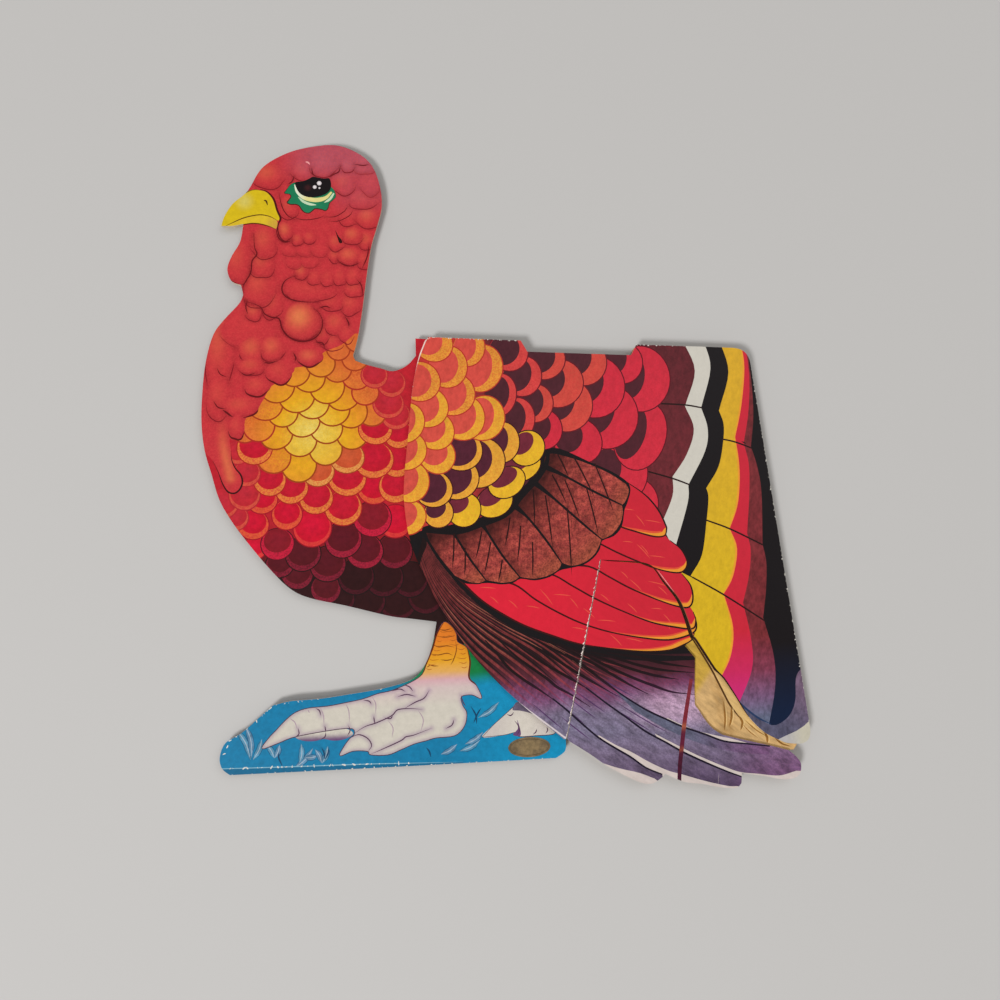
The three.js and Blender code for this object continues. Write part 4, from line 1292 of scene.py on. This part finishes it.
def card_mesh(name, spots, faces, layers, print_z, bare_z):
    """A closed mesh: the printed face, the cut edge round it and the bare face."""
    used, faces = np.unique(faces, return_inverse=True)
    faces = faces.reshape(-1, 3)
    spots = spots[used]
    edge = rim_of(faces.tolist())
    rim = spots[edge]
    back_spots, back_faces = triangulate([rim], [])
    back_faces = back_faces[inside(rim, back_spots[back_faces].mean(axis=1))]

    count = len(spots)
    heights = np.repeat([print_z, bare_z], [count, len(back_spots)]) / MM
    vertices = np.column_stack([np.concatenate([spots, back_spots]) + ORIGIN, heights]) * MM
    below = count + np.arange(len(edge))
    wall = np.column_stack([edge, below, np.roll(below, -1), np.roll(edge, -1)])
    polygons = faces.tolist() + wall.tolist() + (back_faces[:, ::-1] + count).tolist()
    if print_z < bare_z:
        polygons = [polygon[::-1] for polygon in polygons]
        layers = {key: values[:, ::-1] for key, values in layers.items()}
    piece = add_mesh(name, vertices.tolist(), polygons)
    mesh = piece.data
    for key, values in layers.items():
        layer = mesh.color_attributes.new(key, "FLOAT_COLOR", "CORNER")
        colours = np.ones((len(mesh.loops), 4))
        colours[:len(faces) * 3] = values.reshape(-1, 4)
        layer.data.foreach_set("color", colours.ravel())
    # Cut edges near the slit take the dark slit material: painted shade of the gap
    middles = (rim + np.roll(rim, -1, axis=0)) / 2
    walls = np.where(near_run(middles, curve(SLIT)) < SLIT_REACH, SLIT_SHADE, CUT)
    kinds = np.concatenate([np.full(len(faces), PRINTED), walls, np.full(len(back_faces), BARE)])
    mesh.polygons.foreach_set("material_index", kinds.astype(np.int32))
    mesh.update()
    return piece


# Materials

def feed(tree, node, inputs):
    """Set each input of a node to a value, or link it to the output of another node."""
    for key, value in inputs.items():
        if isinstance(value, bpy.types.NodeSocket):
            tree.links.new(value, node.inputs[key])
        else:
            node.inputs[key].default_value = value


def add_node(tree, kind, inputs, **settings):
    """A new shader node, as its outputs."""
    node = tree.nodes.new("ShaderNode" + kind)
    for key, value in settings.items():
        setattr(node, key, value)
    feed(tree, node, inputs)
    return node.outputs


def new_material(name, roughness, specular):
    material = bpy.data.materials.new(name)
    material.use_nodes = True
    tree = material.node_tree
    shader = tree.nodes["Principled BSDF"]
    feed(tree, shader, {"Roughness": roughness, "Specular IOR Level": specular})
    return material, tree, shader


def noise(tree, place, scale, detail, roughness):
    inputs = {"Vector": place, "Scale": scale, "Detail": detail, "Roughness": roughness}
    return add_node(tree, "TexNoise", inputs)["Fac"]


def calculate(tree, operation, *values):
    return add_node(tree, "Math", dict(enumerate(values)), operation=operation)["Value"]


def bump(tree, height, strength, distance, under=None):
    inputs = {"Height": height, "Strength": strength, "Distance": distance}
    if under is not None:
        inputs["Normal"] = under
    return add_node(tree, "Bump", inputs)["Normal"]


def printed_card(name, roughness, specular, lean=0.0, stretch=1.0):
    """Ink on coated card: the drawn colour with its specks, brushed by its mottle, under a soft sheen."""
    material, tree, shader = new_material(name, roughness, specular)
    place = add_node(tree, "TexCoord", {})["Object"]
    turn = {"Vector": place, "Rotation": (0, 0, math.radians(lean)), "Scale": (stretch, 1, 1)}
    brush = add_node(tree, "Mapping", turn, vector_type="TEXTURE")["Vector"]
    drawn = add_node(tree, "Attribute", {}, attribute_name="print")
    specks = add_node(tree, "Attribute", {}, attribute_name="specks")
    blotch = noise(tree, brush, scale=420, detail=5, roughness=0.7)
    grain = noise(tree, place, scale=1250, detail=2, roughness=0.6)
    dots = add_node(tree, "MapRange", {"Value": grain, "From Min": 0.47, "From Max": 0.57})["Result"]
    share = calculate(tree, "MULTIPLY", dots, specks["Alpha"])
    inked = add_node(tree, "Mix", {0: share, 6: drawn["Color"], 7: specks["Color"]}, data_type="RGBA")[2]
    uneven = calculate(tree, "MULTIPLY", calculate(tree, "SUBTRACT", blotch, 0.5), drawn["Alpha"])
    value = calculate(tree, "MULTIPLY_ADD", uneven, 2.4, 0.95)
    value = calculate(tree, "MULTIPLY_ADD", grain, 0.1, value)
    tone = add_node(tree, "HueSaturation", {"Color": inked, "Value": value})["Color"]
    rough = calculate(tree, "MULTIPLY_ADD", blotch, 0.16, roughness - 0.08)
    waves = noise(tree, place, scale=22, detail=1, roughness=0.4)
    fibres = noise(tree, place, scale=2600, detail=3, roughness=0.6)
    wave = bump(tree, waves, strength=0.5, distance=0.0012)
    fibre = bump(tree, fibres, strength=0.12, distance=0.00008, under=wave)
    feed(tree, shader, {"Base Color": tone, "Roughness": rough, "Normal": fibre})
    return material


def plain_card(name, first, second, scale):
    """Unprinted board: two tones of pulp, with fibres."""
    material, tree, shader = new_material(name, roughness=0.8, specular=0.25)
    place = add_node(tree, "TexCoord", {})["Object"]
    ramp = tree.nodes.new("ShaderNodeValToRGB")
    for element, position, tone in zip(ramp.color_ramp.elements, (0.3, 0.7), (first, second)):
        element.position = position
        element.color = (*tone, 1)
    feed(tree, ramp, {"Fac": noise(tree, place, scale, detail=6, roughness=0.7)})
    fibres = noise(tree, place, scale=1400, detail=4, roughness=0.65)
    fibre = bump(tree, fibres, strength=0.25, distance=0.0001)
    feed(tree, shader, {"Base Color": ramp.outputs["Color"], "Normal": fibre})
    return material


print_front = printed_card("front_print", roughness=0.46, specular=0.16)
print_side = printed_card("side_print", roughness=0.44, specular=0.16, lean=80, stretch=1.5)
print_wing = printed_card("wing_print", roughness=0.46, specular=0.16, lean=-34, stretch=2.4)
bare_board = printed_card("bare_board", roughness=0.8, specular=0.2, lean=-40, stretch=3.0)
foil = printed_card("sticker_foil", roughness=0.38, specular=0.5)
cut_edge = plain_card("cut_edge", ink(190, 176, 158), ink(218, 210, 198), scale=900)
worn_paper = plain_card("worn_paper", ink(198, 182, 172), ink(244, 236, 230), scale=700)
# The cut edge along the slit: dark brown, painted as the shade inside the gap
slit_shade_edge = plain_card("slit_shade_edge", ink(58, 38, 26), ink(92, 64, 44), scale=900)
board_back = plain_card("board_back", ink(176, 142, 92), ink(204, 170, 116), scale=260)

# Dressing the frame

BODY_OF = {node: body for body, nodes in frame["record"]["behaviour"]["bodies"].items() for node in nodes}

# The parts of the front that are cut more finely, for their soft shading
NECK_ZONE = [(-100, 120), (-70, 124), (-70, 158), (-40, 184), (-20, 198), (0, 206), (0, 306), (-100, 306)]
FOOT_ZONE = [(-70, 2), (70, 2), (70, 28), (34, 36), (28, 66), (10, 66), (-4, 42), (-64, 32)]
FRONT_ZONES = [(np.array(NECK_ZONE, float), NECK_GRID), (np.array(FOOT_ZONE, float), FOOT_GRID)]

# The worn paper in the crease of a wing tip: its ends, half its width, and how deep its faces lie
SCORE_FOOT = np.array([71.6, 9.4])
SCORE_HEAD = np.array([91.5, 90.2])
SCORE_HALF_WIDTH = 0.12
SCORE_DEPTHS = (0.04, 0.5)
BOX_FACES = [(0, 1, 2, 3), (7, 6, 5, 4), (0, 4, 5, 1), (1, 5, 6, 2), (2, 6, 7, 3), (3, 7, 4, 0)]


def dress(node, picture, face, printed_up, zones=()):
    low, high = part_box(node)
    print_z, bare_z = (high.z, low.z) if printed_up else (low.z, high.z)
    piece = cut_card("dressed_" + node, outline_of(node), picture, print_z, bare_z, zones)
    for material in (face, cut_edge, board_back, slit_shade_edge):
        piece.data.materials.append(material)
    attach(piece, BODY_OF[node])
    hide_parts(node)


def fold_wear(hand):
    """The worn paper left in the crease of a wing tip, a hair's breadth wide."""
    low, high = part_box(f"wing_tip_{hand}")
    sign = 1 if hand == "left" else -1
    outer = high.z if hand == "left" else low.z
    way = (SCORE_HEAD - SCORE_FOOT) / np.hypot(*(SCORE_HEAD - SCORE_FOOT))
    aside = np.array([way[1], -way[0]]) * SCORE_HALF_WIDTH
    corners = [SCORE_FOOT - aside, SCORE_FOOT + aside, SCORE_HEAD + aside, SCORE_HEAD - aside]
    vertices = []
    for depth in SCORE_DEPTHS:
        vertices += [(*((corner + ORIGIN) * MM), outer - sign * depth * MM) for corner in corners]
    piece = add_mesh(f"wing_score_{hand}", vertices, [face[::sign] for face in BOX_FACES])
    piece.data.materials.append(worn_paper)
    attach(piece, f"{hand}_side")


front = front_picture()
side = side_picture(True)
wing = side_picture(False)
bare = bare_picture()
for hand in ("left", "right"):
    up = hand == "left"
    dress(f"front_board_{hand}", front, print_front, up, FRONT_ZONES)
    dress(f"side_board_{hand}", side, print_side, up)
    dress(f"wing_tip_{hand}", wing, print_wing, up)
    dress(f"back_panel_{hand}", bare, bare_board, up)
    dress(f"front_glue_tab_{hand}", bare, bare_board, up)
    fold_wear(hand)
sticker_low, sticker_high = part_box("oval_sticker")
sticker_middle = (np.array(sticker_low) + np.array(sticker_high))[:2] / 2 / MM - ORIGIN
sticker_half = (np.array(sticker_high) - np.array(sticker_low))[:2] / 2 / MM
dress("oval_sticker", sticker_picture(*sticker_middle, *sticker_half), foil, True)


# Floor, light and camera

FLOOR_REACH = 3.0
FLOOR_LEVEL = -0.0001
CAMERA_FOOT = (20.8, 78.4)
CAMERA_HEIGHT = 0.358
CAMERA_TURNS = [("Z", -2.095), ("Y", -3.70), ("X", 6.84)]
SENSOR_WIDTH = 36.0
FOCAL_LENGTH = 27.0


def add_floor():
    square = [(-1, -1), (1, -1), (1, 1), (-1, 1)]
    corners = [(FLOOR_REACH * x, FLOOR_REACH * y, FLOOR_LEVEL) for x, y in square]
    floor = add_mesh("floor", corners, [(0, 1, 2, 3)])
    material, tree, shader = new_material("pale_floor", roughness=0.75, specular=0.3)
    feed(tree, shader, {"Base Color": (*ink(197, 195, 193), 1)})
    floor.data.materials.append(material)


def add_light(name, place, size, power):
    """A round lamp that aims at the middle of the floor."""
    lamp = bpy.data.lights.new(name, "AREA")
    lamp.shape = "DISK"
    lamp.size = size
    lamp.energy = power
    light = add_object(name, lamp)
    light.location = place
    light.rotation_euler = (-Vector(place)).to_track_quat("-Z", "Y").to_euler()


def add_camera():
    lens = bpy.data.cameras.new("camera")
    lens.sensor_width = SENSOR_WIDTH
    lens.lens = FOCAL_LENGTH
    camera = add_object("camera", lens)
    foot = (np.array(CAMERA_FOOT) + ORIGIN) * MM
    stand = Matrix.Translation((foot[0], foot[1], CAMERA_HEIGHT))
    for axis, degrees in CAMERA_TURNS:
        stand = stand @ Matrix.Rotation(math.radians(degrees), 4, axis)
    camera.matrix_world = stand
    bpy.context.scene.camera = camera


add_floor()
add_light("key", place=(-1.6, -1.7, 2.4), size=0.9, power=71)
add_light("fill", place=(1.0, 0.8, 1.8), size=1.6, power=7.7)
world = bpy.data.worlds.new("studio")
world.use_nodes = True
sky = world.node_tree.nodes["Background"]
feed(world.node_tree, sky, {"Color": (1.0, 0.99, 0.97, 1), "Strength": 0.42})
bpy.context.scene.world = world
add_camera()
bpy.context.scene.view_settings.view_transform = "Standard"
